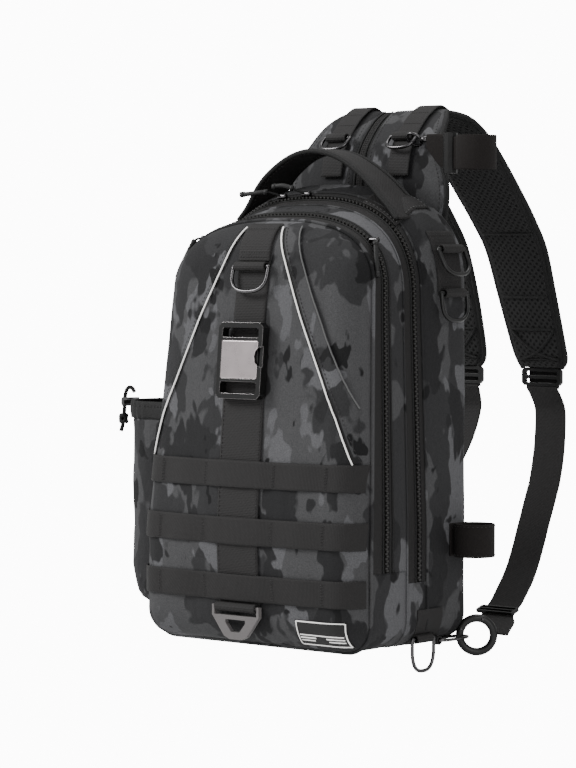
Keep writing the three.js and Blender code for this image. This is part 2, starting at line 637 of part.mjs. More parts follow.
// The bottle pocket on the left: an open-topped cup whose fourth wall is the bag's side
const pocketX = -(BAG_WIDTH / 2 + POCKET_REACH - POCKET_RADIUS);
function pocketSection(z, grow, inset) {
  const radius = POCKET_RADIUS + grow - inset;
  const arc = Array.from({ length: 11 }, (_, k) => {
    const angle = degrees(-90 - k * 18);
    return vec(pocketX + Math.cos(angle) * radius, POCKET_Y + Math.sin(angle) * radius, z);
  });
  return [vec(-BAG_WIDTH / 4, POCKET_Y - radius, z), ...arc, vec(-BAG_WIDTH / 4, POCKET_Y + radius, z)];
}
const pocketRows = [
  { rise: 0, inset: 20 }, { rise: 0.03, inset: 9 }, { rise: 0.1, inset: 2.5 }, { rise: 0.2, inset: 0 }, { rise: 1, inset: 0 },
];
function pocketSolid(grow, low, high) {
  return solid(loft(pocketRows.map(({ rise, inset }) => pocketSection(low + rise * (high - low), grow, inset))));
}
const pocketOuter = pocketSolid(0, POCKET_BOTTOM, POCKET_TOP);
const pocketInner = pocketSolid(-POCKET_CLOTH, POCKET_BOTTOM + POCKET_CLOTH, POCKET_TOP + 20);
const teethRoom = body(TEETH_HEIGHT + GAP).intersect(box(vec(-FAR, -FAR, MAIN_ZIP_END), vec(0, FAR, FAR)));
add('bottle_pocket', pocketOuter.subtract(pocketInner).subtract(body(GAP)).subtract(teethRoom), camo);
const hemWindow = box(vec(-FAR, -FAR, POCKET_TOP - HEM_HEIGHT), vec(0, FAR, POCKET_TOP));
const pocketHem = pocketSolid(GAP + WEBBING, POCKET_BOTTOM, POCKET_TOP + 10)
  .subtract(pocketSolid(GAP, POCKET_BOTTOM, POCKET_TOP + 20)).intersect(hemWindow).subtract(teethRoom);
add('pocket_hem', pocketHem, webbing);

// The drawcord: out of the hem, through its lock and down to a knot
const hemReach = pocketX - POCKET_RADIUS - GAP - WEBBING;
const lockAt = vec(hemReach - 7.4, POCKET_Y - 10, POCKET_TOP - 4);
const cordLock = new THREE.CylinderGeometry(4.6, 4.6, 17, 8).rotateY(degrees(22.5)).rotateY(0)
  .rotateZ(degrees(-28)).translate(lockAt.x, lockAt.y, lockAt.z);
const CORD_POINTS = [
  [0, 0, 0], [-2.5, 0, 3.5], [-6, -0.5, 4.6], [-9, -1, 2.5], [-10.6, -1.5, -2], [-11.2, -2, -8],
  [-11.4, -2, -14], [-11.8, -2, -19], [-12.4, -2, -24], [-13, -2.2, -29], [-14, -2.5, -34], [-15.4, -3, -39],
];
const cordStart = lockAt.clone().add(vec(5.2, 0, 9.5));
const cordPoints = CORD_POINTS.map(([x, y, z]) => cordStart.clone().add(vec(x, y, z)));
const knotAt = cordPoints[8].clone().add(cordPoints[9]).multiplyScalar(0.5);
const cordLoop = solid(cordTube(cordPoints, POCKET_CORD_RADIUS, 8, 13));
const knot = solid(new THREE.SphereGeometry(5.2, 8, 6).scale(1, 1, 1.35).translate(...knotAt.toArray()));
add('pocket_cord', cordLoop.add(knot), webbing);
add('cord_lock', solid(cordLock).subtract(solid(cordTube(cordPoints, POCKET_CORD_RADIUS + GAP, 8, 13))), plastic);

// The carry handle: a band over the top whose two ends lie on the shoulders of the bag
const handleShape = [
  { across: -0.5, rise: -0.02, width: 1 }, { across: -0.445, rise: 0.16, width: 1 },
  { across: -0.36, rise: 0.52, width: 1 }, { across: -0.27, rise: 0.76, width: 0.95 },
  { across: -0.16, rise: 0.94, width: 0.9 }, { across: -0.04, rise: 1, width: 0.88 },
  { across: 0.09, rise: 0.93, width: 0.88 }, { across: 0.2, rise: 0.77, width: 0.9 },
  { across: 0.3, rise: 0.56, width: 0.95 }, { across: 0.38, rise: 0.34, width: 1 },
  { across: 0.445, rise: 0.16, width: 1.04 }, { across: 0.5, rise: -0.02, width: 1.08 },
];
const handleFoot = BAG_HEIGHT - 32;
const handlePath = handleShape.map(({ across, rise }) =>
  vec(across * HANDLE_SPAN, HANDLE_Y, handleFoot + rise * HANDLE_RISE));
const handleWidths = handleShape.map(({ width }) => width * HANDLE_WIDTH);
const handleBand = solid(sweptStrap(handlePath, vec(0, 1, 0), handleWidths, HANDLE_THICK));
add('carry_handle', handleBand.subtract(body(GAP)), webbing);

// The shoulder straps: two padded straps zipped together from the bag to the crest, apart below it. Each
// row is a place in the side view, given from the bag's back and top, and a strap's edges are shares of its width.
const STRAP_ROWS = [
  { behind: 7, rise: -57, left: [-1.42, -0.16], right: [-0.16, 1.42] },
  { behind: 7, rise: -29, left: [-1.52, -0.16], right: [-0.16, 1.52] },
  { behind: 7.5, rise: -9, left: [-1.55, -0.16], right: [-0.16, 1.55] },
  { behind: 9, rise: 8, left: [-1.5, -0.16], right: [-0.16, 1.5] },
  { behind: 13, rise: 28, left: [-1.36, -0.16], right: [-0.16, 1.36] },
  { behind: 20, rise: 41, left: [-1.27, -0.16], right: [-0.16, 1.27] },
  { behind: 31, rise: 54, left: [-1.2, -0.16], right: [-0.16, 1.2] },
  { behind: 42, rise: 63.5, left: [-1.11, -0.16], right: [-0.16, 1.11] },
  { behind: 55, rise: 70, left: [-1, -0.16], right: [-0.16, 1] },
  { behind: 69, rise: 64, left: [-1.06, -0.19], right: [0, 1.24] },
  { behind: 85, rise: 47, left: [-1.1, -0.16], right: [0.17, 1.4] },
  { behind: 105, rise: 24, left: [-1.1, -0.13], right: [0.23, 1.46] },
  { behind: 135, rise: -8, left: [-1.1, -0.13], right: [0.25, 1.46] },
  { behind: 158, rise: -34, left: [-1.1, -0.13], right: [0.27, 1.45] },
  { behind: 178, rise: -62, left: [-1.1, -0.13], right: [0.3, 1.44] },
  { behind: 196, rise: -108, left: [-1.1, -0.14], right: [0.34, 1.42] },
  { behind: 212, rise: -157, left: [-1.08, -0.18], right: [0.42, 1.42] },
  { behind: 217.5, rise: -173, left: [-1.04, -0.24], right: [0.47, 1.4] },
  { behind: 217.5, rise: -181, left: [-0.96, -0.34], right: [0.56, 1.32] },
];
const STRAP_ROUTE = STRAP_ROWS.map(({ behind, rise, left, right }) => (
  { y: BAG_DEPTH / 2 + behind, z: BAG_HEIGHT + rise, left, right }));
const CREST = STRAP_ROUTE[8];
const strapEnd = STRAP_ROUTE[STRAP_ROUTE.length - 1];
const edgesOf = (row, side) => (side > 0 ? row.right : row.left).map((share) => share * STRAP_WIDTH);
const middleX = (row, side) => edgesOf(row, side).reduce((a, b) => a + b) / 2;
const spanOf = (row, side) => edgesOf(row, side)[1] - edgesOf(row, side)[0];
const routePoint = (row, side) => vec(middleX(row, side), row.y, row.z);
function strapPad(side, extra, thickness) {
  return solid(sweptStrap(STRAP_ROUTE.map((row) => routePoint(row, side)), vec(1, 0, 0),
    STRAP_ROUTE.map((row) => spanOf(row, side) + extra), thickness, 0.3));
}
const padSeat = frontPrism(backOutline, backFace, backFace + BACK_PAD + 2 * GAP);
for (const [side, name] of [[-1, 'left'], [1, 'right']]) {
  const edge = STRAP_ZIP_X + side * (STRAP_ZIP_WIDTH / 2 + GAP);
  const keep = side > 0 ? box(vec(edge, 0, 0), vec(FAR, FAR, FAR)) : box(vec(-FAR, 0, 0), vec(edge, FAR, FAR));
  add(`strap_${name}`, strapPad(side, 0, STRAP_THICK).intersect(keep).subtract(padSeat).subtract(body(GAP)), mesh);
}
const zipRoute = STRAP_ROUTE.slice(1, 9);
add('strap_zipper', solid(sweptStrap(zipRoute.map(({ y, z }) => vec(STRAP_ZIP_X, y, z)), vec(1, 0, 0),
  zipRoute.map(() => STRAP_ZIP_WIDTH), STRAP_THICK * 0.7)).subtract(body(GAP)), tape);

// Webbing and a metal ring on the face of each strap, where it rises from the bag
const faceShift = STRAP_THICK / 2 + GAP + WEBBING / 2;
const STRAP_WEBBING_X = 41;
function facePoint(index, x, shift) {
  const row = STRAP_ROUTE[index];
  const [before, after] = [STRAP_ROUTE[Math.max(index - 1, 0)], STRAP_ROUTE[index + 1]];
  const along = vec(0, after.y - before.y, after.z - before.z).normalize();
  const outward = vec(0, -along.z, along.y);
  return vec(x, row.y, row.z).addScaledVector(outward, shift);
}
const RING_ROW = 5;
const RING_TILT = 46;
const strapRingPivots = {};
for (const [side, name] of [[-1, 'left'], [1, 'right']]) {
  const x = side * STRAP_WEBBING_X;
  const rows = [3, 4, 5, 6, 7, 8, 9];
  const band = solid(sweptStrap(rows.map((i) => facePoint(i, x, faceShift)), vec(1, 0, 0),
    rows.map(() => STRAP_WEBBING_WIDTH), WEBBING));
  const pivot = facePoint(RING_ROW, x, STRAP_THICK / 2 + GAP + LOOP_OUTER + 0.4);
  strapRingPivots[name] = pivot;
  const loop = moved(webbingLoop(STRAP_WEBBING_WIDTH - 1), pivot.x, pivot.y, pivot.z);
  const hollow = solid(new THREE.CylinderGeometry(LOOP_INNER, LOOP_INNER, STRAP_WEBBING_WIDTH, 12)
    .rotateZ(Math.PI / 2).translate(pivot.x, pivot.y, pivot.z));
  add(`strap_webbing_${name}`, band.add(loop).subtract(strapPad(side, 4, STRAP_THICK + 2 * GAP))
    .subtract(hollow), webbing);
  add(`strap_ring_${name}`, placed(dRing(STRAP_RING_WIDTH, STRAP_RING_DROP, THIN_BAR), pivot, 0, RING_TILT), steel);
}

// Ladder locks at the strap ends, with the lower webbing that runs to the rings at the bottom corners
const LOWER_ROUTE = [
  { out: 0, back: 0, fall: 0.0014 }, { out: 0, back: 0, fall: 0.014 }, { out: 0.02, back: -0.03, fall: 0.047 },
  { out: 0.06, back: -0.068, fall: 0.126 },
  { out: 0.14, back: -0.014, fall: 0.28 }, { out: 0.26, back: 0.095, fall: 0.43 },
  { out: 0.36, back: 0.203, fall: 0.523 }, { out: 0.48, back: 0.331, fall: 0.621 },
  { out: 0.7, back: 0.574, fall: 0.808 }, { out: 0.9, back: 0.845, fall: 0.949 },
  { out: 1, back: 1, fall: 1 },
];
const SLIDE_LENGTH = 13;
const SLIDE_AT = { x: BAG_WIDTH / 2 - 20, y: BAG_DEPTH / 2 + 69.5, z: 15.7 };
const GATE_CENTRE = { x: BAG_WIDTH / 2 + 8, y: BAG_DEPTH / 2 - 3, z: 4 };
const VIEW_TURN = 40;
const facing = vec(Math.sin(degrees(VIEW_TURN)), -Math.cos(degrees(VIEW_TURN)), 0);
for (const [side, name] of [[-1, 'left'], [1, 'right']]) {
  const lockX = middleX(strapEnd, side);
  const lockLow = strapEnd.z - GAP - LOCK_HEIGHT;
  const lockSlots = [[1.5, 5.5], [-6, -2]].map(([low, high]) => rounded(LOCK_WIDTH / 2 - 4, low, high, 1));
  const lock = frontPrism(rounded(LOCK_WIDTH / 2, -LOCK_HEIGHT / 2, LOCK_HEIGHT / 2, 3),
    -LOCK_THICK / 2, LOCK_THICK / 2, lockSlots);
  add(`ladder_lock_${name}`, moved(lock, lockX, strapEnd.y, lockLow + LOCK_HEIGHT / 2), plastic);
  const route = LOWER_ROUTE.map(({ out, back, fall }) => vec(
    lockX + out * (side * SLIDE_AT.x - lockX),
    strapEnd.y + back * (SLIDE_AT.y - strapEnd.y),
    lockLow + fall * (SLIDE_AT.z - lockLow),
  ));
  const slide = route[route.length - 1];
  const flat = vec(side * -facing.y, facing.x, 0);
  const centre = vec(side * GATE_CENTRE.x, GATE_CENTRE.y, GATE_CENTRE.z);
  const hold = centre.clone().addScaledVector(flat, GATE_RING_RADIUS + GATE_RING_WIRE + 1.6);
  const tail = [0.35, 0.75, 1].map((share) => slide.clone().lerp(hold, share));
  const widths = [...route.map(() => LOWER_WEBBING_WIDTH), LOWER_WEBBING_WIDTH, 26, 20];
  const lower = solid(sweptStrap([...route, ...tail], vec(1, 0, 0), widths, WEBBING + 0.4));
  const circle = Array.from({ length: 14 }, (_, k) => {
    const angle = (k / 14) * Math.PI * 2;
    return centre.clone().addScaledVector(flat, Math.cos(angle) * GATE_RING_RADIUS)
      .add(vec(0, 0, Math.sin(angle) * GATE_RING_RADIUS));
  });
  const axis = vec(side * facing.x, facing.y, 0);
  const roomy = solid(wireLoop(circle, axis, GATE_RING_WIRE + GAP, 6));
  add(`lower_webbing_${name}`, lower.subtract(roomy), webbing);
  add(`gate_ring_${name}`, wireLoop(circle, axis, GATE_RING_WIRE, 6), plastic);

  // The slide lies on the webbing at its slope
  const slope = Math.atan2(route[9].z - tail[0].z, route[9].y - tail[0].y);
  const bars = [[1, SLIDE_LENGTH / 2 - 2], [2 - SLIDE_LENGTH / 2, -1]];
  const slideSlots = bars.map(([low, high]) => rounded(LOWER_WEBBING_WIDTH / 2 + 0.5, low, high, 0.6));
  const outline = rounded(LOWER_WEBBING_WIDTH / 2 + 3.5, -SLIDE_LENGTH / 2, SLIDE_LENGTH / 2, 2);
  const glide = topPrism(outline, 0, 3, slideSlots).translate([0, 0, (WEBBING + 0.4) / 2 + 1.2])
    .rotate([(slope * 180) / Math.PI, 0, 0]).translate([slide.x, slide.y, slide.z]);
  const seat = solid(sweptStrap([...route, ...tail], vec(1, 0, 0), widths.map((w) => w + 2), WEBBING + 0.4 + 2 * GAP));
  add(`strap_slide_${name}`, glide.subtract(seat), plastic);
}

// A point on a zip's teeth, given as an angle round the top arch from the right side, standing off the cloth
function archPoint(share, rowA, rowB, angle, off) {
  const mix = (share - rowA.depth) / (rowB.depth - rowA.depth);
  const row = Object.fromEntries(Object.keys(rowA).map((key) => [key, rowA[key] + mix * (rowB[key] - rowA[key])]));
  const turn = degrees(Math.min(angle, 180 - angle));
  const reach = (row.shoulder * BAG_WIDTH) / 2 + off;
  const foot = row.shoulderZ * BAG_HEIGHT;
  const rise = row.topZ * BAG_HEIGHT + off - foot;
  const x = reach * Math.cos(turn) ** (2 / SHOULDER_POWER);
  const z = foot + rise * Math.sin(turn) ** (2 / SHOULDER_POWER);
  return vec(angle > 90 ? -x : x, seamY(row, z), z);
}
const SLIDER_RADIUS = 3.4;
const PULL_RADIUS = 2.1;
const SLIDERS = [
  { name: 'front_pull_left', zip: 'front', angle: 142, drop: [[-8, -6, -2], [-16, -12, -20], [-22, -16, -38]] },
  { name: 'front_pull_right', zip: 'front', angle: 36, drop: [[7, -7, -2], [12, -12, -18], [15, -14, -34]] },
  { name: 'main_pull_left', zip: 'main', angle: 103, drop: [[-10, -10, 4], [-24, -15, 3], [-38, -17, 2]] },
  { name: 'main_pull_right', zip: 'main', angle: 92, drop: [[-9, -9, 5], [-19, -12, 8], [-30, -14, 7]] },
];
for (const { name, zip, angle, drop } of SLIDERS) {
  const rows = zip === 'front' ? [frontSeam, frontTapeBack] : [mainTapeFront, mainTapeBack];
  const seat = archPoint(TEETH[zip], ...rows, angle, TEETH_HEIGHT + GAP + SLIDER_RADIUS);
  const run = [vec(0, 0, 0), ...drop.map(([x, y, z]) => vec(x, y, z))].map((point) => point.add(seat));
  const slider = solid(new THREE.SphereGeometry(SLIDER_RADIUS, 6, 4).scale(1.35, 1, 1).translate(...seat.toArray()));
  const pull = solid(cordTube(run, PULL_RADIUS, 6, 6));
  const end = solid(new THREE.SphereGeometry(PULL_RADIUS * 1.35, 6, 4).translate(...run[3].toArray()));
  add(name, slider.add(pull).add(end).subtract(body(TEETH_HEIGHT + GAP)), plastic);
}

// Rod holder: a loop low on the right side, and a strap with a hook from the right strap's ring
const rodX = BAG_WIDTH / 2 + ROD_LOOP_RADIUS + GAP + 1;
const ROD_Y = BAG_DEPTH / 2 - 23;
const ROD_PLY = 2.6;
function circlePath(x, y, radius, sides = 16) {
  return Array.from({ length: sides }, (_, k) => {
    const angle = (k / sides) * Math.PI * 2;
    return [x + Math.cos(angle) * radius, y + Math.sin(angle) * radius];
  });
}
const rodLow = ROD_LOOP_Z - ROD_LOOP_HEIGHT / 2;
const rodHigh = rodLow + ROD_LOOP_HEIGHT;
const rodRing = topPrism(circlePath(rodX, ROD_Y, ROD_LOOP_RADIUS), rodLow, rodHigh);
const rodSeat = box(vec(BAG_WIDTH / 2 - 4, ROD_Y - 14, rodLow), vec(rodX - ROD_LOOP_RADIUS + 5, ROD_Y + 12, rodHigh));
const rodHole = topPrism(circlePath(rodX, ROD_Y, ROD_LOOP_RADIUS - ROD_PLY), rodLow - 1, rodHigh + 1);
add('rod_loop', rodRing.add(rodSeat).subtract(rodHole).subtract(body(GAP)), webbing);

const ROD_STRAP = { x: BAG_WIDTH / 2 + 18, y: BAG_DEPTH / 2 - 19 };
const BAND_START = STRAP_WEBBING_X + 35.5;
const BAND_REACH = BAG_WIDTH / 2 + 4 - BAND_START;
const ROD_BAND = [
  { along: 0, behind: 2, rise: 12, height: 0.45 }, { along: 0.16, behind: -1.5, rise: 8, height: 0.7 },
  { along: 0.36, behind: -5, rise: 3, height: 1 }, { along: 0.6, behind: -9, rise: 0, height: 1 },
  { along: 0.8, behind: -13, rise: 0, height: 1 }, { along: 1, behind: -17, rise: 0, height: 1 },
];
const LOCK_ROW = 3;
const bandPath = ROD_BAND.map(({ along, behind, rise }) =>
  vec(BAND_START + along * BAND_REACH, BAG_DEPTH / 2 + behind, ROD_STRAP_Z + rise));
const bandHeights = ROD_BAND.map(({ height }) => height * ROD_STRAP_HEIGHT);
const strapLow = ROD_STRAP_Z - ROD_STRAP_HEIGHT / 2 - 0.5;
const strapHigh = strapLow + ROD_STRAP_HEIGHT + 1;
const rodBand = solid(sweptStrap(bandPath, vec(0, 0, 1), bandHeights, ROD_PLY))
  .add(topPrism(circlePath(ROD_STRAP.x, ROD_STRAP.y, ROD_LOOP_RADIUS), strapLow, strapHigh))
  .subtract(topPrism(circlePath(ROD_STRAP.x, ROD_STRAP.y, ROD_LOOP_RADIUS - ROD_PLY), strapLow - 1, strapHigh + 1));
add('rod_strap', rodBand, webbing);
const LOCK_AT = bandPath[LOCK_ROW];
const bandRoom = solid(sweptStrap(bandPath, vec(0, 0, 1), bandHeights.map((h) => h + 2 * GAP), ROD_PLY + 2 * GAP));
const barrel = topPrism(circlePath(LOCK_AT.x, LOCK_AT.y, 7, 10), strapLow - 3, strapHigh + 3);
add('rod_strap_lock', barrel.subtract(bandRoom), plastic);

// The hook: a wire round the side of the right strap's ring, with a stem that the band is sewn to
const HOOK_RADIUS = 7.8;
const HOOK_WIRE = 1.5;
const ringTurn = degrees(RING_TILT);
const down = vec(0, -Math.sin(ringTurn), -Math.cos(ringTurn));
const out = vec(0, -Math.cos(ringTurn), Math.sin(ringTurn));
const hookAt = strapRingPivots.right.clone().add(vec(STRAP_RING_WIDTH / 2 - THIN_BAR + 3, 0, 0))
  .addScaledVector(down, STRAP_RING_DROP * 0.45).addScaledVector(out, 2.4);
const hookCircle = Array.from({ length: 12 }, (_, k) => {
  const angle = (k / 12) * Math.PI * 2;
  return hookAt.clone().add(vec(Math.cos(angle) * HOOK_RADIUS, 0, 0)).addScaledVector(out, Math.sin(angle) * HOOK_RADIUS);
});
const stemLength = bandPath[0].x - 4 * GAP - (hookAt.x + HOOK_RADIUS);
const stem = solid(new THREE.CylinderGeometry(3.2, 3.2, stemLength, 8).rotateZ(Math.PI / 2)
  .translate(hookAt.x + HOOK_RADIUS + stemLength / 2, hookAt.y, hookAt.z));
add('rod_hook', solid(wireLoop(hookCircle, down, HOOK_WIRE, 6)).add(stem), steel);

// A webbing tab at the right bottom corner with a ring that hangs below the base, and a second ring that
// joins the tab to the right gate ring
const TAB_RING_WIDTH = 36;
const TAB_RING_DROP = 32;
const TAB_Y = BAG_DEPTH / 2 - 73;
const LINK_Y = TAB_Y + 24;
const tabPivot = vec(BAG_WIDTH / 2 - 2, TAB_Y, 6.6);
const linkPivot = vec(BAG_WIDTH / 2 - 4, LINK_Y, 2.4);
const LINK_WIRE = 1.5;
const linkReach = 21.5;
const linkHalf = 8;
const tabLoop = webbingLoop(24).rotate([0, 0, 90]);
const tabStrip = layer(GAP, GAP + WEBBING).intersect(box(vec(BAG_WIDTH / 2 - 28, TAB_Y - 12.5, -FAR), vec(FAR, LINK_Y - 4, 34))
  .add(box(vec(BAG_WIDTH / 2 - 8, LINK_Y - 5, -FAR), vec(FAR, LINK_Y + 1, 34))));
const tabLoops = moved(tabLoop, tabPivot.x, tabPivot.y, tabPivot.z)
  .add(moved(webbingLoop(7), linkPivot.x, linkPivot.y, linkPivot.z));
add('base_tab', tabStrip.add(tabLoops.subtract(body(1.5 * GAP))), webbing);
add('base_ring', placed(dRing(TAB_RING_WIDTH, TAB_RING_DROP, THIN_BAR), tabPivot, 90, 0), steel);
const linkPath = Array.from({ length: 18 }, (_, k) => {
  const angle = (k / 18) * Math.PI * 2 + Math.PI / 18;
  const [c, d] = [Math.cos(angle), Math.sin(angle)];
  const power = 2 / 3;
  return vec(linkPivot.x + Math.sign(c) * Math.abs(c) ** power * linkHalf,
    linkPivot.y + linkReach + Math.sign(d) * Math.abs(d) ** power * linkReach, linkPivot.z);
});
add('link_ring', wireLoop(linkPath, vec(0, 0, 1), LINK_WIRE), steel);

const group = new THREE.Group();
group.add(parts);
parts.position.set(0, -CREST.y, -(CREST.z - STRAP_THICK / 2));
export default group;
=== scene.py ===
"""Looks of the fishing tackle sling bag: its pieces, finishes, camera and light."""

import json
import logging
import math
from dataclasses import astuple, dataclass, replace
from enum import Enum

import bmesh
import bpy
import numpy as np
from mathutils import Matrix, Vector, noise
from mathutils.bvhtree import BVHTree

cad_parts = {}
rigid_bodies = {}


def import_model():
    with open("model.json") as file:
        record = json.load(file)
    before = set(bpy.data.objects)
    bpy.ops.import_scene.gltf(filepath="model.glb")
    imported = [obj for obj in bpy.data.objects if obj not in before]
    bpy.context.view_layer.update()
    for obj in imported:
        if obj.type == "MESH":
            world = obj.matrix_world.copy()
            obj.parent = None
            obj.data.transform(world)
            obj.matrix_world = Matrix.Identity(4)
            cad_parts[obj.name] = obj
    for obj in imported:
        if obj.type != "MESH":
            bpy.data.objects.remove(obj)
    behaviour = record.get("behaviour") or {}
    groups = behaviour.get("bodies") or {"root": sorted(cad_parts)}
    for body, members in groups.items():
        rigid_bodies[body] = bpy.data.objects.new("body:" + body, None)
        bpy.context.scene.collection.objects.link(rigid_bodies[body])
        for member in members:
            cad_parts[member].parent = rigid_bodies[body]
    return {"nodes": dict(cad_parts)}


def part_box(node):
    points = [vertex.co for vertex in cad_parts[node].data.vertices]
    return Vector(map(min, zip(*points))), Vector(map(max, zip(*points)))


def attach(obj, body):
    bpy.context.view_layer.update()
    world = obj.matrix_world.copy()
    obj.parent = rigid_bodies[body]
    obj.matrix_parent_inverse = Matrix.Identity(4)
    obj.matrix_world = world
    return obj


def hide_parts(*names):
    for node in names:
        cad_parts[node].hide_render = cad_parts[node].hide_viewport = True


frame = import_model()
LOG = logging.getLogger("sling_bag")
Material = bpy.types.Material
Object = bpy.types.Object
Socket = bpy.types.NodeSocket

# The origin of the row frame in the bag's own frame, under the crest of the straps, in mm
CREST_Y = 146.0
UNDER_CREST_Z = 493.0

# Points nearer than this in metres are joined
WELD = 0.00002

# A wave texture of this scale has one line in each millimetre
WAVE_SCALE = 314.0

# Sockets of a colour mix node
MIX_UNDER, MIX_OVER, MIX_RESULT = 6, 7, 2

# Body sizes in mm
WIDTH = 264.0
DEPTH = 182.0
HEIGHT = 429.0
BASE_ROUND = 26.0
FRONT_INSET = 34.0
BACK_INSET = 20.0
FACE_BULGE = 6.0
LEAN = 26.0
LEAN_START = 100.0
TAPER_START = 110.0
POWER = 2.5
FRONT_ZIP_END = 72.0
MAIN_ZIP_END = 60.0

# Thickness of webbing and heavy cloth in mm
PLY = 1.6

# How many rows of the main body lie in front of its rounded back, and points in one level of the pocket
BODY_ROWS = 14
POCKET_POINTS = 61

X_AXIS = Vector((1, 0, 0))
Y_AXIS = Vector((0, 1, 0))
Z_AXIS = Vector((0, 0, 1))
SIDES = ((-1, "left"), (1, "right"))

# Middles of the bars of the loose rings at the front and at the base, and of the base tab's long ring, in mm
FOLD_PIVOT = Vector((0, -75.337, 352))
TRIANGLE_PIVOT = Vector((0, -96.263, 36))
BASE_PIVOT = Vector((130, 18, 6.6))
LINK_CENTRE = Vector((128, 63.5, 2.4))

# The side rings' level, distance from the middle, height and tilt in degrees
SIDE_RINGS = (("upper", 132.293, HEIGHT - 61, 24), ("lower", 135.919, HEIGHT - 102, 6))
SIDE_WEBBING_Y = DEPTH / 2 - 34
STRAP_WEBBING_X = 41

# The gate rings' radius, and how far they are turned out from the bag
GATE_RADIUS = 16.0
GATE_TURN = math.radians(40)

# The radius of the two loops that hold a rod, and the width of the straps' lower webbing, in mm
ROD_RADIUS = 19.0
LOWER_WIDTH = 38

# Half widths of a ribbon's points, from one edge to the other
RIBBON_SHARES = (-1, -0.985, -0.94, -0.85, *(k / 10 for k in range(-7, 8)), 0.85, 0.94, 0.985, 1)
RIBBON_SIDES = 2 * len(RIBBON_SHARES)

# Corners and faces of a small block
BLOCK_CORNERS = tuple((a, b, c) for c in (-1, 1) for a, b in ((-1, -1), (1, -1), (1, 1), (-1, 1)))
BLOCK_FACES = ((0, 1, 2, 3), (7, 6, 5, 4), (0, 4, 5, 1), (1, 5, 6, 2), (2, 6, 7, 3), (3, 7, 4, 0))


@dataclass(frozen=True)
class Section:
    """One section of the body: its depth and lean as shares, and its outline as shares of the bag's sizes."""

    depth: float
    lean: float
    shoulder: float
    shoulder_z: float
    top_z: float


FRONT_SEAM = Section(0.154, 1.0, 0.894, 0.765, 0.918)
FRONT_TAPE_BACK = Section(0.33, 0.58, 0.9, 0.75, 0.937)
MAIN_TAPE_FRONT = Section(0.451, 0.46, 0.91, 0.735, 0.953)
MAIN_TAPE_BACK = Section(0.615, 0.12, 0.93, 0.735, 0.981)
CROWN = Section(0.75, 0.0, 0.985, 0.755, 1.0)
BACK_SHOULDER = Section(0.907, 0.0, 0.995, 0.775, 0.995)
SECTIONS = (FRONT_SEAM, FRONT_TAPE_BACK, MAIN_TAPE_FRONT, MAIN_TAPE_BACK, CROWN, BACK_SHOULDER)
FRONT_TEETH = 0.277
MAIN_TEETH = 0.544


class Part(Enum):
    """Which stretch of a section a strip follows."""

    RING = "ring"
    ARCH = "arch"
    TUB = "tub"


def row_point(point: Vector | tuple) -> Vector:
    """Turns a point of the bag's own frame into the row frame.

    Args:
        point: x, y and z in mm, from the middle of the bag's base.

    Returns:
        The point in metres in the row frame.
    """
    x, y, z = point
    return Vector((x / 1000, (y - CREST_Y) / 1000, (z - UNDER_CREST_Z) / 1000))


def mirrored(point: Vector) -> Vector:
    """Returns the same point on the other side of the bag."""
    return Vector((-point.x, point.y, point.z))


def strap_pivot(side: int) -> Vector:
    """Returns the middle of the bar of one strap's ring, in mm."""
    return Vector((side * STRAP_WEBBING_X, 101.956, 476.261))


def gate_place(side: int) -> tuple:
    """Returns a gate ring's centre in mm, and the direction of its width."""
    flat = Vector((side * math.cos(GATE_TURN), math.sin(GATE_TURN), 0))
    return Vector((side * 140, 88, 4)), flat


def lean_at(z: float) -> float:
    """Returns how far the front leans back at a height, in mm."""
    top = FRONT_SEAM.top_z * HEIGHT
    return LEAN * max(0.0, (z - LEAN_START) / (top - LEAN_START))


def half_width(z: float) -> float:
    """Returns half the front panel's width at a height on its side, in mm."""
    taper = max(0.0, (z - TAPER_START) / (FRONT_SEAM.shoulder_z * HEIGHT - TAPER_START))
    return WIDTH / 2 * (1 + (FRONT_SEAM.shoulder - 1) * taper)


def section_at(share: float) -> Section:
    """Blends the two sections that a depth lies between.

    Args:
        share: the depth as a share of the bag's depth.

    Returns:
        The section there.
    """
    if share <= FRONT_SEAM.depth:
        return replace(FRONT_SEAM, depth=share)
    for a, b in zip(SECTIONS, SECTIONS[1:]):
        if share <= b.depth:
            t = (share - a.depth) / (b.depth - a.depth)
            mix = [one + t * (two - one) for one, two in zip(astuple(a)[1:], astuple(b)[1:])]
            return Section(share, *mix)
    return SECTIONS[-1]


def outline(section: Section, grow: float = 0.0, inset: float = 0.0) -> list:
    """Builds one closed section outline from the bottom centre, up the right side and down the left.

    Args:
        section: the section's shape.
        grow: how far outside the cloth it runs, in mm.
        inset: how far a rounded edge is drawn in, in mm.

    Returns:
        Points as (x, z) pairs in mm.
    """
    reach = grow - inset
    foot = WIDTH / 2 + reach
    shoulder = section.shoulder * WIDTH / 2 + reach
    shoulder_z = section.shoulder_z * HEIGHT
    top = section.top_z * HEIGHT + reach
    radius = max(BASE_ROUND + reach, 8.0)
    base = -reach
    half = [(foot - radius) * k / 10 for k in range(10)]
    half = [(x, base) for x in half]
    for k in range(11):
        a = math.radians(9 * k)
        half.append((foot - radius + radius * math.sin(a), base + radius - radius * math.cos(a)))
    side = base + radius
    for k in range(1, 29):
        z = side + (shoulder_z - side) * k / 28
        taper = max(0.0, (z - TAPER_START) / (shoulder_z - TAPER_START))
        half.append((foot + (shoulder - foot) * taper, z))
    for k in range(1, 31):
        a = math.radians(3 * k)
        x = shoulder * max(math.cos(a), 0.0) ** (2 / POWER)
        half.append((x, shoulder_z + (top - shoulder_z) * math.sin(a) ** (2 / POWER)))
    return half + [(-x, z) for x, z in reversed(half[1:-1])]


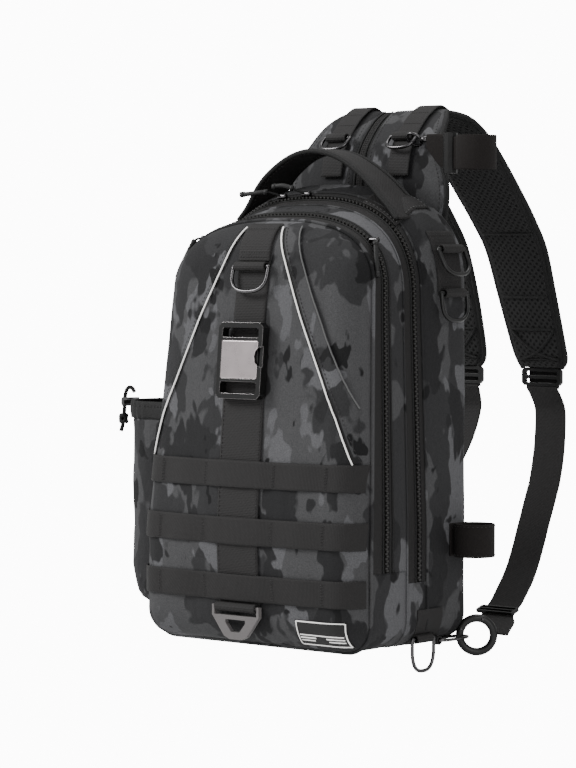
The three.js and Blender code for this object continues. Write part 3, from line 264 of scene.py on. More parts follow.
def ring(share: float, grow: float = 0.0, inset: float = 0.0, shift: float = 0.0) -> list:
    """Places one section outline in space.

    Args:
        share: depth as a share of the bag's depth.
        grow: distance outside the cloth in mm.
        inset: how far the outline is drawn in, in mm.
        shift: extra distance along Y in mm.

    Returns:
        The closed ring as a list of points in mm.
    """
    section = section_at(share)
    y = (share - 0.5) * DEPTH + shift
    return [Vector((x, y + section.lean * lean_at(z), z)) for x, z in outline(section, grow, inset)]


def resample(points: list, count: int, closed: bool = False) -> list:
    """Spreads points evenly along a line.

    Args:
        points: the line's points.
        count: how many points are wanted.
        closed: True if the line ends where it starts.

    Returns:
        Evenly spaced points.
    """
    line = points + [points[0]] if closed else points
    data = np.array([list(p) for p in line])
    length = np.concatenate([[0], np.cumsum(np.linalg.norm(np.diff(data, axis=0), axis=1))])
    stops = np.linspace(0, length[-1], count, endpoint=not closed)
    return [Vector([np.interp(s, length, data[:, k]) for k in range(3)]) for s in stops]


def stretch(share: float, part: Part, zip_end: float, count: int, grow: float = 0.0) -> list:
    """Follows a section over the top of the bag, under its base or all round.

    Args:
        share: depth as a share of the bag's depth.
        part: which stretch to follow.
        zip_end: height in mm at which the zips end.
        count: number of points.
        grow: distance outside the cloth in mm.

    Returns:
        Evenly spaced points in mm.
    """
    points = ring(share, grow)
    if part is Part.RING:
        return resample(points, count, closed=True)
    right = points[: len(points) // 2 + 1]
    up = [p for p in right if p.z > zip_end and p.x > 60 or p.z > 300]
    low = [p for p in right if p not in up]
    start = low[-1].lerp(up[0], (zip_end - low[-1].z) / (up[0].z - low[-1].z))
    end = mirrored(start)
    if part is Part.ARCH:
        return resample([start, *up, *(mirrored(p) for p in reversed(up[:-1])), end], count)
    return resample([start, *reversed(low), *(mirrored(p) for p in low[1:]), end], count)


def smooth_path(points: list, steps: int = 6) -> list:
    """Runs a smooth curve through points.

    Args:
        points: the points it passes through.
        steps: how many steps there are between two of them.

    Returns:
        The curve's points.
    """
    p = [Vector(q) for q in points]
    out = []
    for i in range(len(p) - 1):
        a, b, c, d = p[max(i - 1, 0)], p[i], p[i + 1], p[min(i + 2, len(p) - 1)]
        for k in range(steps):
            t = k / steps
            square, cube = 2 * a - 5 * b + 4 * c - d, 3 * b - a - 3 * c + d
            out.append(0.5 * (2 * b + (c - a) * t + square * t * t + cube * t**3))
    return out + [p[-1]]


def spread(values: list, count: int) -> list:
    """Spreads numbers given at a few places over many, along a smooth curve."""
    curve = [q.x for q in smooth_path([Vector((value, 0, 0)) for value in values], 12)]
    return list(np.interp(np.linspace(0, len(curve) - 1, count), range(len(curve)), curve))


def run(start: tuple, end: tuple, count: int = 30) -> list:
    """Returns evenly spaced places from one to another."""
    steps = [k / (count - 1) for k in range(count)]
    return [tuple(p + (q - p) * t for p, q in zip(start, end)) for t in steps]


def circle(centre: Vector, one: Vector, two: Vector, radius: float, turns: tuple | np.ndarray) -> list:
    """Places points round a centre.

    Args:
        centre: the middle in mm.
        one: direction of the turn 0.
        two: direction of a quarter turn.
        radius: distance from the centre in mm.
        turns: the places in radians.

    Returns:
        The points in mm.
    """
    return [centre + one * (radius * math.cos(a)) + two * (radius * math.sin(a)) for a in turns]


def full_turn(count: int) -> np.ndarray:
    """Returns evenly spaced turns in radians, once round."""
    return np.linspace(0, 2 * math.pi, count, endpoint=False)


def heading(line: list, i: int) -> Vector:
    """Returns the direction of a line at one of its points."""
    return (line[min(i + 1, len(line) - 1)] - line[max(i - 1, 0)]).normalized()


def length_of(line: list) -> float:
    """Returns the length of a line in mm."""
    return sum((b - a).length for a, b in zip(line, line[1:]))


def quads(rows: int, count: int, closed: bool) -> list:
    """Numbers the faces between rows of points.

    Args:
        rows: how many rows there are.
        count: how many points a row has.
        closed: True if each row closes on itself.

    Returns:
        Lists of four point numbers.
    """
    faces = []
    for r in range(rows - 1):
        for i in range(count if closed else count - 1):
            j = (i + 1) % count
            faces.append([r * count + i, r * count + j, (r + 1) * count + j, (r + 1) * count + i])
    return faces


class Shape:
    """Builds mesh pieces from points in the bag's own frame."""

    @staticmethod
    def mesh(
        name: str, points: list, faces: list, material: Material, uvs: list | None = None, smooth: bool = True
    ) -> Object:
        """Makes one mesh object.

        Args:
            name: the object's name.
            points: its points in mm.
            faces: lists of point numbers.
            material: the material it gets.
            uvs: one (u, v) in metres for each point, for cloth that follows the piece.
            smooth: True for smooth shading.

        Returns:
            The new object.
        """
        data = bpy.data.meshes.new(name)
        data.from_pydata([row_point(p) for p in points], [], faces)
        if uvs:
            layer = data.uv_layers.new(name="cloth")
            for loop in data.loops:
                layer.data[loop.index].uv = uvs[loop.vertex_index]
        data.materials.append(material)
        data.polygons.foreach_set("use_smooth", [smooth] * len(data.polygons))
        obj = bpy.data.objects.new(name, data)
        bpy.context.scene.collection.objects.link(obj)
        return obj

    @staticmethod
    def grid(name: str, rows: list, material: Material, closed: bool = False, caps: bool = False) -> Object:
        """Makes a surface from rows of points.

        Args:
            name: the object's name.
            rows: lists of the same number of points in mm.
            material: the material it gets.
            closed: True if each row closes on itself.
            caps: True to close both ends.

        Returns:
            The new object.
        """
        count = len(rows[0])
        points, uvs = [], []
        along = 0.0
        for r, line in enumerate(rows):
            if r:
                along += (line[count // 2] - rows[r - 1][count // 2]).length / 1000
            across = 0.0
            for i, p in enumerate(line):
                if i:
                    across += (p - line[i - 1]).length / 1000
                points.append(p)
                uvs.append((across, along))
        faces = quads(len(rows), count, closed)
        if caps:
            faces.append(list(reversed(range(count))))
            faces.append([(len(rows) - 1) * count + i for i in range(count)])
        obj = Shape.mesh(name, points, faces, material, uvs)
        Shape.face_out(obj)
        return obj

    @staticmethod
    def face_out(obj: Object, weld: float | None = None) -> None:
        """Turns a piece's faces outwards.

        Args:
            obj: the piece.
            weld: points nearer than this in metres are joined first.
        """
        work = bmesh.new()
        work.from_mesh(obj.data)
        if weld:
            bmesh.ops.remove_doubles(work, verts=work.verts, dist=weld)
        bmesh.ops.recalc_face_normals(work, faces=work.faces)
        work.to_mesh(obj.data)
        work.free()

    @staticmethod
    def ribbon(
        name: str,
        path: list,
        across: Vector,
        widths: list,
        thick: float,
        material: Material,
        puff: float = 0.0,
        creases: tuple = (),
        steps: int = 6,
        pinches: tuple = (),
    ) -> Object:
        """Sweeps a strap along a path.

        Args:
            name: the object's name.
            path: points in mm.
            across: direction of the strap's width.
            widths: width at each point in mm.
            thick: thickness in mm.
            material: the material it gets.
            puff: how much thicker its middle is, in mm.
            creases: places of sewn lines as shares of the half width.
            steps: steps of the curve between two points.
            pinches: places of sewn lines across it, as shares of its length.

        Returns:
            The new object.
        """
        line = smooth_path(path, steps)
        spans = spread(widths, len(line))
        rows = []
        for i, p in enumerate(line):
            along = line[min(i + 1, len(line) - 1)] - line[max(i - 1, 0)]
            along = (along - across * along.dot(across)).normalized()
            face = along.cross(across).normalized()
            top, low = [], []
            for s in RIBBON_SHARES:
                past = max(0.0, (abs(s) - (1 - thick / spans[i])) * spans[i] / thick)
                edge = math.sqrt(max(0.0, 1 - past**2))
                crown = 1 - s * s
                lift = thick / 2 * edge + puff * crown
                for pinch in pinches:
                    place = (i / (len(line) - 1) - pinch + 0.012 * s) / 0.011
                    lift -= min(puff, 2.4) * crown * math.exp(-place * place)
                for crease in creases:
                    lift -= min(puff + 1.2, 3.0) * math.exp(-(((s - crease) * spans[i] / 2 / 2.2) ** 2))
                spot = p + across * (s * spans[i] / 2)
                top.append(spot + face * lift)
                low.append(spot - face * (thick / 2 * edge + 0.3 * puff * crown))
            rows.append(top + list(reversed(low)))
        return Shape.grid(name, rows, material, closed=True, caps=True)

    @staticmethod
    def tube(
        name: str, path: list, radius: float, material: Material, closed: bool = False, sides: int = 12
    ) -> Object:
        """Makes a round bar or cord along a path.

        Args:
            name: the object's name.
            path: points in mm.
            radius: its radius in mm.
            material: the material it gets.
            closed: True if the path closes on itself.
            sides: how many sides the round has.

        Returns:
            The new object.
        """
        rows = []
        count = len(path)
        normal = None
        for i, p in enumerate(path):
            before = path[(i - 1) % count] if closed else path[max(i - 1, 0)]
            after = path[(i + 1) % count] if closed else path[min(i + 1, count - 1)]
            along = (after - before).normalized()
            if normal is None:
                normal = along.orthogonal().normalized()
            normal = (normal - along * normal.dot(along)).normalized()
            other = along.cross(normal)
            turn = [2 * math.pi * k / sides for k in range(sides)]
            rows.append([p + normal * (math.cos(a) * radius) + other * (math.sin(a) * radius) for a in turn])
        if closed:
            rows.append(rows[0])
        obj = Shape.grid(name, rows, material, closed=True, caps=not closed)
        if closed:
            Shape.face_out(obj, WELD)
        return obj

    @staticmethod
    def solidify(obj: Object, thick: float) -> None:
        """Gives a surface its thickness, inwards from its face.

        Args:
            obj: the piece.
            thick: its thickness in mm.
        """
        mod = obj.modifiers.new("thickness", "SOLIDIFY")
        mod.thickness = thick / 1000
        mod.offset = -1

    @staticmethod
    def join(name: str, objects: list) -> Object:
        """Joins pieces into one object.

        Args:
            name: the new object's name.
            objects: the pieces, which lose their modifiers first.

        Returns:
            The joined object.
        """
        bpy.ops.object.select_all(action="DESELECT")
        for obj in objects:
            obj.select_set(True)
        bpy.context.view_layer.objects.active = objects[0]
        bpy.ops.object.convert(target="MESH")
        if len(objects) > 1:
            bpy.ops.object.join()
        joined = bpy.context.view_layer.objects.active
        joined.name = name
        return joined

    @staticmethod
    def dressed(
        node: str, name: str, material: Material, bevel: float, segments: int = 3, angle: float = 32.0
    ) -> Object:
        """Makes a rounded copy of a CAD node.

        Args:
            node: the CAD node that is copied.
            name: the new object's name.
            material: the material it gets.
            bevel: edge radius in mm.
            segments: steps across each rounded edge.
            angle: edges sharper than this many degrees are rounded.

        Returns:
            The new object.
        """
        data = frame["nodes"][node].data.copy()
        data.materials.clear()
        data.materials.append(material)
        obj = bpy.data.objects.new(name, data)
        bpy.context.scene.collection.objects.link(obj)
        work = bmesh.new()
        work.from_mesh(data)
        bmesh.ops.remove_doubles(work, verts=work.verts, dist=WELD)
        bmesh.ops.dissolve_limit(work, angle_limit=math.radians(2), verts=work.verts, edges=work.edges)
        work.to_mesh(data)
        work.free()
        if bevel:
            mod = obj.modifiers.new("edges", "BEVEL")
            mod.width = bevel / 1000
            mod.segments = segments
            mod.limit_method = "ANGLE"
            mod.angle_limit = math.radians(angle)
        data.polygons.foreach_set("use_smooth", [True] * len(data.polygons))
        smooth = obj.modifiers.new("normals", "WEIGHTED_NORMAL")
        smooth.keep_sharp = True
        return obj

    @staticmethod
    def ripple(obj: Object, height: float, size: float, seed: float = 0.0) -> None:
        """Moves a piece's points in soft waves, as cloth lies.

        Args:
            obj: the piece.
            height: largest movement in mm.
            size: length of a wave in mm.
            seed: which pattern of waves.
        """
        data = obj.data
        moves = []
        for v in data.vertices:
            place = v.co * (1000 / size) + Vector((seed, seed, seed))
            wave = noise.noise(place) + 0.5 * noise.noise(place * 2.3)
            moves.append(v.co + v.normal * (wave * height / 1000))
        for v, co in zip(data.vertices, moves):
            v.co = co


def colour(hex_code: str) -> tuple:
    """Turns an sRGB hex colour into linear values.

    Args:
        hex_code: six hex digits.

    Returns:
        Red, green, blue and alpha.
    """
    parts = [int(hex_code[k : k + 2], 16) / 255 for k in (0, 2, 4)]
    return (*[c / 12.92 if c <= 0.04045 else ((c + 0.055) / 1.055) ** 2.4 for c in parts], 1.0)


class Paint:
    """Builds the materials. Each pattern's scale comes from its real size in mm."""

    def __init__(self, name: str, hex_code: str, rough: float, shine: float, metal: float = 0.0) -> None:
        """Starts a material.

        Args:
            name: the material's name.
            hex_code: its colour as six hex digits.
            rough: its roughness.
            shine: strength of its mirror light, from 0 to 1.
            metal: 1 for bare metal.
        """
        self.material = bpy.data.materials.new(name)
        self.material.use_nodes = True
        self.tree = self.material.node_tree
        self.shader = self.tree.nodes["Principled BSDF"]
        self.shader.inputs["Base Color"].default_value = colour(hex_code)
        self.shader.inputs["Roughness"].default_value = rough
        self.shader.inputs["Metallic"].default_value = metal
        self.shader.inputs["Specular IOR Level"].default_value = shine

    def add(self, kind: str, inputs: dict | None = None, **settings: str) -> bpy.types.ShaderNode:
        """Adds one shader node.

        Args:
            kind: the node's type.
            inputs: socket name to a value or to another node's output.
            **settings: the node's own options.

        Returns:
            The node.
        """
        node = self.tree.nodes.new(kind)
        for key, value in settings.items():
            setattr(node, key, value)
        for key, value in (inputs or {}).items():
            if isinstance(value, bpy.types.NodeSocket):
                self.tree.links.new(value, node.inputs[key])
            else:
                node.inputs[key].default_value = value
        return node

    def link(self, output: Socket, name: str) -> None:
        """Links an output to one of the shader's sockets."""
        self.tree.links.new(output, self.shader.inputs[name])

    def place(self, uv: bool) -> Socket:
        """Returns coordinates in metres: along the piece, or in the object's own space."""
        node = self.add("ShaderNodeTexCoord")
        return node.outputs["UV" if uv else "Object"]

    def threads(self, where: Socket, pitch_mm: float, direction: str) -> Socket:
        """Returns a fine line pattern with one line for each thread."""
        inputs = {"Vector": where, "Scale": WAVE_SCALE / pitch_mm}
        return self.add("ShaderNodeTexWave", inputs, bands_direction=direction).outputs["Fac"]

    def mapped(self, where: Socket, **settings: tuple) -> Socket:
        """Returns coordinates that are moved, turned or scaled."""
        inputs = {"Vector": where, **{key.capitalize(): value for key, value in settings.items()}}
        return self.add("ShaderNodeMapping", inputs).outputs[0]

    def cloud(self, where: Socket, scale: float, detail: float, **settings: float) -> Socket:
        """Makes a soft, cloudy pattern.

        Args:
            where: the coordinates it lies in.
            scale: how fine it is.
            detail: how many finer layers it has.
            **settings: the pattern's other inputs.

        Returns:
            Its value.
        """
        inputs = {"Vector": where, "Scale": scale, "Detail": detail}
        inputs.update({key.capitalize(): value for key, value in settings.items()})
        return self.add("ShaderNodeTexNoise", inputs).outputs["Fac"]

    def ramp(self, value: Socket, low: float, high: float) -> Socket:
        """Returns 0 where a value is below the low limit, 1 above the high one, and a ramp between."""
        inputs = {"Value": value, "From Min": low, "From Max": high}
        return self.add("ShaderNodeMapRange", inputs).outputs["Result"]

    def blend(self, share: Socket, under: Socket | tuple, over: tuple) -> Socket:
        """Mixes two colours.

        Args:
            share: how much of the second shows.
            under: the first colour, or the output that gives it.
            over: the second colour.

        Returns:
            The mixed colour.
        """
        node = self.add("ShaderNodeMix", {"Factor": share}, data_type="RGBA")
        if isinstance(under, tuple):
            node.inputs[MIX_UNDER].default_value = under
        else:
            self.tree.links.new(under, node.inputs[MIX_UNDER])
        node.inputs[MIX_OVER].default_value = over
        return node.outputs[MIX_RESULT]

    def relief(
        self, height: Socket, depth_mm: float, strength: float, normal: Socket | None = None
    ) -> Socket:
        """Adds relief and links it to the shader's normal.

        Args:
            height: the pattern that raises the surface.
            depth_mm: height of the pattern in mm.
            strength: how strongly it shows.
            normal: relief that it is laid over, if any.

        Returns:
            The new normal.
        """
        inputs = {"Height": height, "Distance": depth_mm / 1000, "Strength": strength}
        if normal is not None:
            inputs["Normal"] = normal
        bump = self.add("ShaderNodeBump", inputs)
        self.link(bump.outputs["Normal"], "Normal")
        return bump.outputs["Normal"]

    def maths(self, operation: str, a: Socket | float, b: Socket | float) -> Socket:
        """Works out one sum of two values.

        Args:
            operation: the kind of sum.
            a: the first value.
            b: the second value.

        Returns:
            The result.
        """
        node = self.add("ShaderNodeMath", operation=operation)
        for socket, value in zip(node.inputs, (a, b)):
            if isinstance(value, bpy.types.NodeSocket):
                self.tree.links.new(value, socket)
            else:
                socket.default_value = value
        return node.outputs[0]


@dataclass(frozen=True)
class Patch:
    """One colour of the printed cloth: the scale of its patches, and the limit over which they show."""

    tone: str
    scale: float
    limit: float
    seed: float


@dataclass(frozen=True)
class Camouflage:
    """Printed 600D polyester: soft-edged patches of greys and black on a plain weave."""

    ground: str = "242425"
    patches: tuple = (
        Patch("383839", 19.0, 0.48, 3.1),
        Patch("48484a", 24.0, 0.57, 15.2),
        Patch("1b1b1c", 23.0, 0.575, 8.7),
        Patch("101011", 31.0, 0.64, 24.9),
    )
    softness: float = 0.009

    def material(self) -> Material:
        """Builds the patches, the weave and the folds.

        Returns:
            The material.
        """
        paint = Paint("camo_cloth", "1d1d1e", 0.82, 0.16)
        where = paint.place(False)
        # Patches are 20 to 60 mm across and taller than they are wide
        squeezed = paint.mapped(where, scale=(1.0, 1.0, 0.62))
        shade = colour(self.ground)
        for patch in self.patches:
            moved = paint.mapped(squeezed, location=(patch.seed, patch.seed * 0.7, patch.seed * 1.3))
            value = paint.cloud(moved, patch.scale, 3.0, roughness=0.5, distortion=0.25)
            share = paint.ramp(value, patch.limit - self.softness, patch.limit + self.softness)
            shade = paint.blend(share, shade, colour(patch.tone))
        speckle = paint.maths("ADD", paint.cloud(where, 900.0, 2.0), 0.5)
        tint = paint.add("ShaderNodeHueSaturation", {"Color": shade, "Value": speckle})
        paint.link(tint.outputs["Color"], "Base Color")
        weave = paint.maths("MULTIPLY", paint.threads(where, 0.9, "X"), paint.threads(where, 0.9, "Z"))
        cloth = paint.relief(weave, 0.14, 0.7)
        pulled = paint.mapped(where, rotation=(0.0, 0.5, 0.0), scale=(1.0, 1.0, 0.35))
        paint.relief(paint.cloud(pulled, 34.0, 3.0, distortion=0.4), 5.0, 0.55, cloth)
        return paint.material


@dataclass(frozen=True)
class Webbing:
    """Nylon webbing: its colour, its roughness, and the distance from rib to rib in mm."""

    name: str
    hex_code: str
    rough: float
    pitch: float

    def material(self) -> Material:
        """Builds the ribs across its length and a fine herringbone.

        Returns:
            The material.
        """
        paint = Paint(self.name, self.hex_code, self.rough, 0.2)
        where = paint.place(True)
        ribs = paint.threads(where, self.pitch, "Y")
        lines = paint.threads(where, self.pitch * 1.4, "DIAGONAL")
        height = paint.maths("ADD", ribs, paint.maths("MULTIPLY", lines, 0.5))
        paint.relief(height, 0.22, 0.8)
        return paint.material


@dataclass(frozen=True)
class SpacerMesh:
    """Rows of small diamond holes over dark foam, the holes darker as painted shade: the distance between
    them in mm, and both colours.
    """

    pitch: float = 3.6
    yarn: str = "222222"
    hole_foam_and_shade: str = "080808"

    def material(self) -> Material:
        """Builds the rows of holes.

        Returns:
            The material.
        """
        paint = Paint("air_mesh", "121212", 0.9, 0.15)
        where = paint.place(True)
        one = paint.threads(where, self.pitch, "DIAGONAL")
        other = paint.threads(paint.mapped(where, scale=(-1.0, 1.0, 1.0)), self.pitch, "DIAGONAL")
        holes = paint.maths("MULTIPLY", one, other)
        # The holes get the darker colour: the dark foam, and painted shade inside them
        shade = paint.blend(paint.ramp(holes, 0.25, 0.6), colour(self.yarn), colour(self.hole_foam_and_shade))
        paint.link(shade, "Base Color")
        paint.relief(holes, -0.8, 0.9)
        return paint.material


@dataclass(frozen=True)
class Finish:
    """A moulded, cast or coated surface: its colour, roughness, metalness and fine relief in mm."""

    name: str
    hex_code: str
    rough: float
    metal: float = 0.0
    grain: float = 0.0

    def material(self) -> Material:
        """Builds the surface with a little unevenness.

        Returns:
            The material.
        """
        shine = 0.5 if self.metal else 0.28
        paint = Paint(self.name, self.hex_code, self.rough, shine, self.metal)
        where = paint.place(False)
        limits = {"To Min": self.rough - 0.06, "To Max": self.rough + 0.08}
        uneven = paint.add("ShaderNodeMapRange", {"Value": paint.cloud(where, 70.0, 4.0), **limits})
        paint.link(uneven.outputs["Result"], "Roughness")
        if self.grain:
            paint.relief(paint.cloud(where, 1800.0, 2.0), self.grain, 0.6)
        return paint.material


class Palette:
    """All the bag's materials."""

    def __init__(self) -> None:
        """Makes each material once."""
        self.camo = Camouflage().material()
        self.webbing = Webbing("webbing", "1c1b1b", 0.72, 1.5).material()
        self.fuzzy = Webbing("loop_webbing", "13100f", 0.9, 1.0).material()
        self.tape = Webbing("zip_tape", "171616", 0.7, 0.8).material()
        self.binding = Webbing("binding", "111111", 0.65, 1.0).material()
        self.mesh = SpacerMesh().material()
        self.teeth = Finish("zip_teeth", "201f1e", 0.42).material()
        self.plastic = Finish("black_plastic", "0c0c0c", 0.34, grain=0.02).material()
        self.rubber = Finish("soft_pull", "0d0d0d", 0.55, grain=0.05).material()
        self.grey = Finish("grey_plastic", "565353", 0.45, grain=0.03).material()
        self.steel = Finish("dark_steel", "4a494a", 0.24, metal=1.0).material()
        # Pale satin metal for the buckle's face plate: a painted reflection of the light on black plastic
        self.satin = Finish("satin_steel", "b9b0b1", 0.27, metal=1.0).material()
        # Pale metal for the buckle's bevelled edges: painted highlights on black plastic
        self.rim = Finish("painted_highlight_edge", "8d8a8a", 0.2, metal=1.0).material()
        self.reflective = Finish("reflective_piping", "e9e7e5", 0.35).material()
        # Grey for the painted highlight along the pleat's fold, and for the thread on the handle's feet
        self.edge = Finish("fold_highlight_and_thread", "4a4a4a", 0.6).material()
        self.stitch = Finish("stitching", "2b2a2a", 0.8).material()


@dataclass
class Body:
    """The cloth body: its panels, gussets, zips and piping."""

    palette: Palette
    face_middle: float = 205.0
    gap: float = 0.008
    floor: float = 0.02
    rim: float = 0.026

    def face_rows(self, grow: float = 0.0) -> list:
        """Rows of the front panel, from the middle of its face out to the seam.

        Args:
            grow: distance outside the cloth in mm.

        Returns:
            Closed rows of points in mm.
        """
        front = FRONT_SEAM.depth * DEPTH
        edge = ring(FRONT_SEAM.depth, grow, FRONT_INSET, -front - grow)
        rows = []
        for k in (0.02, 0.1, 0.2, 0.3, 0.4, 0.5, 0.6, 0.7, 0.8, 0.9):
            line = []
            for p in edge:
                x, z = p.x * k, self.face_middle + (p.z - self.face_middle) * k
                y = (FRONT_SEAM.depth - 0.5) * DEPTH - front - grow + lean_at(z) - FACE_BULGE * (1 - k**2.2)
                line.append(Vector((x, y, z)))
            rows.append(line)
        for k in range(10):
            a = math.radians(90 - 9 * k)
            inset, shift = FRONT_INSET * (1 - math.cos(a)), -(front + grow) * math.sin(a)
            rows.append(ring(FRONT_SEAM.depth, grow, inset, shift))
        rows.append(ring(FRONT_SEAM.depth, grow))
        return rows

    def back_rows(self) -> list:
        """Rows of the main body, from the zip back to the middle of the back.

        Returns:
            Closed rows of points in mm.
        """
        rows = [ring(s) for s in np.linspace(MAIN_TAPE_BACK.depth, BACK_SHOULDER.depth, BODY_ROWS)]
        back = (1 - BACK_SHOULDER.depth) * DEPTH
        for k in range(1, 10):
            a = math.radians(10 * k)
            rows.append(ring(BACK_SHOULDER.depth, 0, BACK_INSET * (1 - math.cos(a)), back * math.sin(a)))
        edge = rows[-1]
        middle = self.face_middle
        for k in (0.9, 0.6, 0.3, 0.02):
            rows.append([Vector((p.x * k, p.y, middle + (p.z - middle) * k)) for p in edge])
        return rows

    def form(self) -> BVHTree:
        """Builds the surface that the trim is laid on.

        Returns:
            A tree in mm for finding the surface.
        """
        between = [ring(s) for s in np.linspace(0.17, 0.9, 30)]
        rows = self.face_rows() + between + self.back_rows()[BODY_ROWS:]
        points = [p for line in rows for p in line]
        return BVHTree.FromPolygons(points, quads(len(rows), len(rows[0]), True))

    def strip(
        self,
        name: str,
        share0: float,
        share1: float,
        part: Part,
        zip_end: float,
        material: Material,
        steps: int = 5,
        crown: float = 0.0,
    ) -> Object:
        """Makes one band of cloth between two depths.

        Args:
            name: the object's name.
            share0: depth of its front edge.
            share1: depth of its back edge.
            part: which stretch it follows.
            zip_end: height of the zip's end in mm.
            material: the material it gets.
            steps: rows across it.
            crown: how far its middle stands out, in mm.

        Returns:
            The new object.
        """
        rows = []
        for k in range(steps + 1):
            t = k / steps
            rows.append(stretch(share0 + t * (share1 - share0), part, zip_end, 150, crown * 4 * t * (1 - t)))
        return Shape.grid(name, rows, material)

    def teeth(self, name: str, share: float, zip_end: float) -> Object:
        """Makes a zip's two rows of teeth.

        Args:
            name: the object's name.
            share: depth of the zip's middle line.
            zip_end: height of its end in mm.

        Returns:
            The new object.
        """
        pitch, stagger = 2.2, 0.75
        half_long, half_wide, half_high = 0.8, 1.6, 0.8
        line = stretch(share, Part.ARCH, zip_end, 600, 0.9)
        line = resample(line, int(length_of(line) / pitch))
        points, faces = [], []
        for i in range(1, len(line) - 1):
            along = heading(line, i)
            side = (Y_AXIS - along * Y_AXIS.dot(along)).normalized()
            out = along.cross(side).normalized()
            if out.dot(line[i] - Vector((0, line[i].y, 200))) < 0:
                out = -out
            shift = stagger if i % 2 else -stagger
            base = len(points)
            for a, b, c in BLOCK_CORNERS:
                across = side * (b * half_wide + shift)
                points.append(line[i] + along * (a * half_long) + across + out * (c * half_high))
            faces += [[base + v for v in face] for face in BLOCK_FACES]
        obj = Shape.mesh(name, points, faces, self.palette.teeth, smooth=False)
        Shape.face_out(obj)
        return obj

    def piping(
        self,
        name: str,
        share: float,
        part: Part,
        zip_end: float,
        radius: float,
        material: Material,
        grow: float,
    ) -> Object:
        """Makes a round cord sewn into a seam."""
        line = stretch(share, part, zip_end, 220, grow)
        return Shape.tube(name, line, radius, material, closed=part is Part.RING, sides=10)

    def zipper(self, node: str, depths: tuple, teeth: float, end: float) -> Object:
        """Makes one zip: two tapes, the floor under them, the teeth and the bound edges.

        Args:
            node: the CAD node that it stands for.
            depths: depths of its front and back edge.
            teeth: depth of its teeth.
            end: height of its end in mm.

        Returns:
            The joined zip.
        """
        p = self.palette
        parts = (
            ("a", depths[0], teeth - self.gap, 4, 0.5),
            ("b", teeth + self.gap, depths[1], 4, 0.5),
            ("c", teeth - self.floor, teeth + self.floor, 2, -1.0),
        )
        tapes = [
            self.strip(f"{node}_{key}", front, back, Part.ARCH, end, p.tape, steps, crown)
            for key, front, back, steps, crown in parts
        ]
        tape = Shape.join(f"{node}_tape", tapes)
        Shape.solidify(tape, 1.0)
        rows = self.teeth(f"{node}_teeth", teeth, end)
        rims = [
            self.piping(f"{node}_rim{k}", teeth + shift, Part.ARCH, end, 0.9, p.binding, 0.5)
            for k, shift in enumerate((-self.rim, self.rim))
        ]
        return Shape.join(f"{node}_piece", [rows, tape, *rims])

    def build(self) -> dict:
        """Makes the body's pieces.

        Returns:
            Objects by the CAD node that each stands for.
        """
        p = self.palette
        sections = (FRONT_SEAM, FRONT_TAPE_BACK, MAIN_TAPE_FRONT, MAIN_TAPE_BACK)
        seam, tape, main, back = (section.depth for section in sections)
        made = {}
        made["front_panel"] = Shape.grid("front_panel_cloth", self.face_rows(), p.camo, closed=True)
        Shape.ripple(made["front_panel"], 0.9, 75, 3.0)
        made["front_gusset"] = self.strip(
            "front_gusset_cloth", tape, main, Part.ARCH, FRONT_ZIP_END, p.camo, 6, 1.2
        )
        low = [
            self.strip("base_front", seam, main, Part.TUB, FRONT_ZIP_END, p.camo, 8, 0.6),
            self.strip("base_back", main, back, Part.TUB, MAIN_ZIP_END, p.camo, 6, 0.6),
        ]
        made["base_gusset"] = Shape.join("base_cloth", low)
        made["main_body"] = Shape.grid("main_body_cloth", self.back_rows(), p.camo, closed=True)
        Shape.ripple(made["main_body"], 1.0, 80, 9.0)
        for cloth in made.values():
            Shape.solidify(cloth, 2.2)
        made["front_zipper"] = self.zipper("front_zipper", (seam, tape), FRONT_TEETH, FRONT_ZIP_END)
        made["main_zipper"] = self.zipper("main_zipper", (main, back), MAIN_TEETH, MAIN_ZIP_END)
        made["front_piping"] = self.piping("front_piping_cord", seam, Part.RING, 0, 2.0, p.camo, 0.9)
        seams = [
            self.piping("seam_a", tape, Part.ARCH, FRONT_ZIP_END, 1.1, p.binding, 0.3),
            self.piping("seam_b", main, Part.RING, 0, 1.1, p.camo, 0.3),
            self.piping("seam_c", back, Part.RING, 0, 1.4, p.camo, 0.5),
        ]
        made["seams"] = Shape.join("seam_cords", seams)
        LOG.info("body: %d pieces", len(made))
        return made


class Side(Enum):
    """The side of the bag that trim is laid on, as the direction that it is laid from."""

    FRONT = (0, 1, 0)
    RIGHT = (-1, 0, 0)
    LEFT = (1, 0, 0)
    TOP = (0, 0, -1)


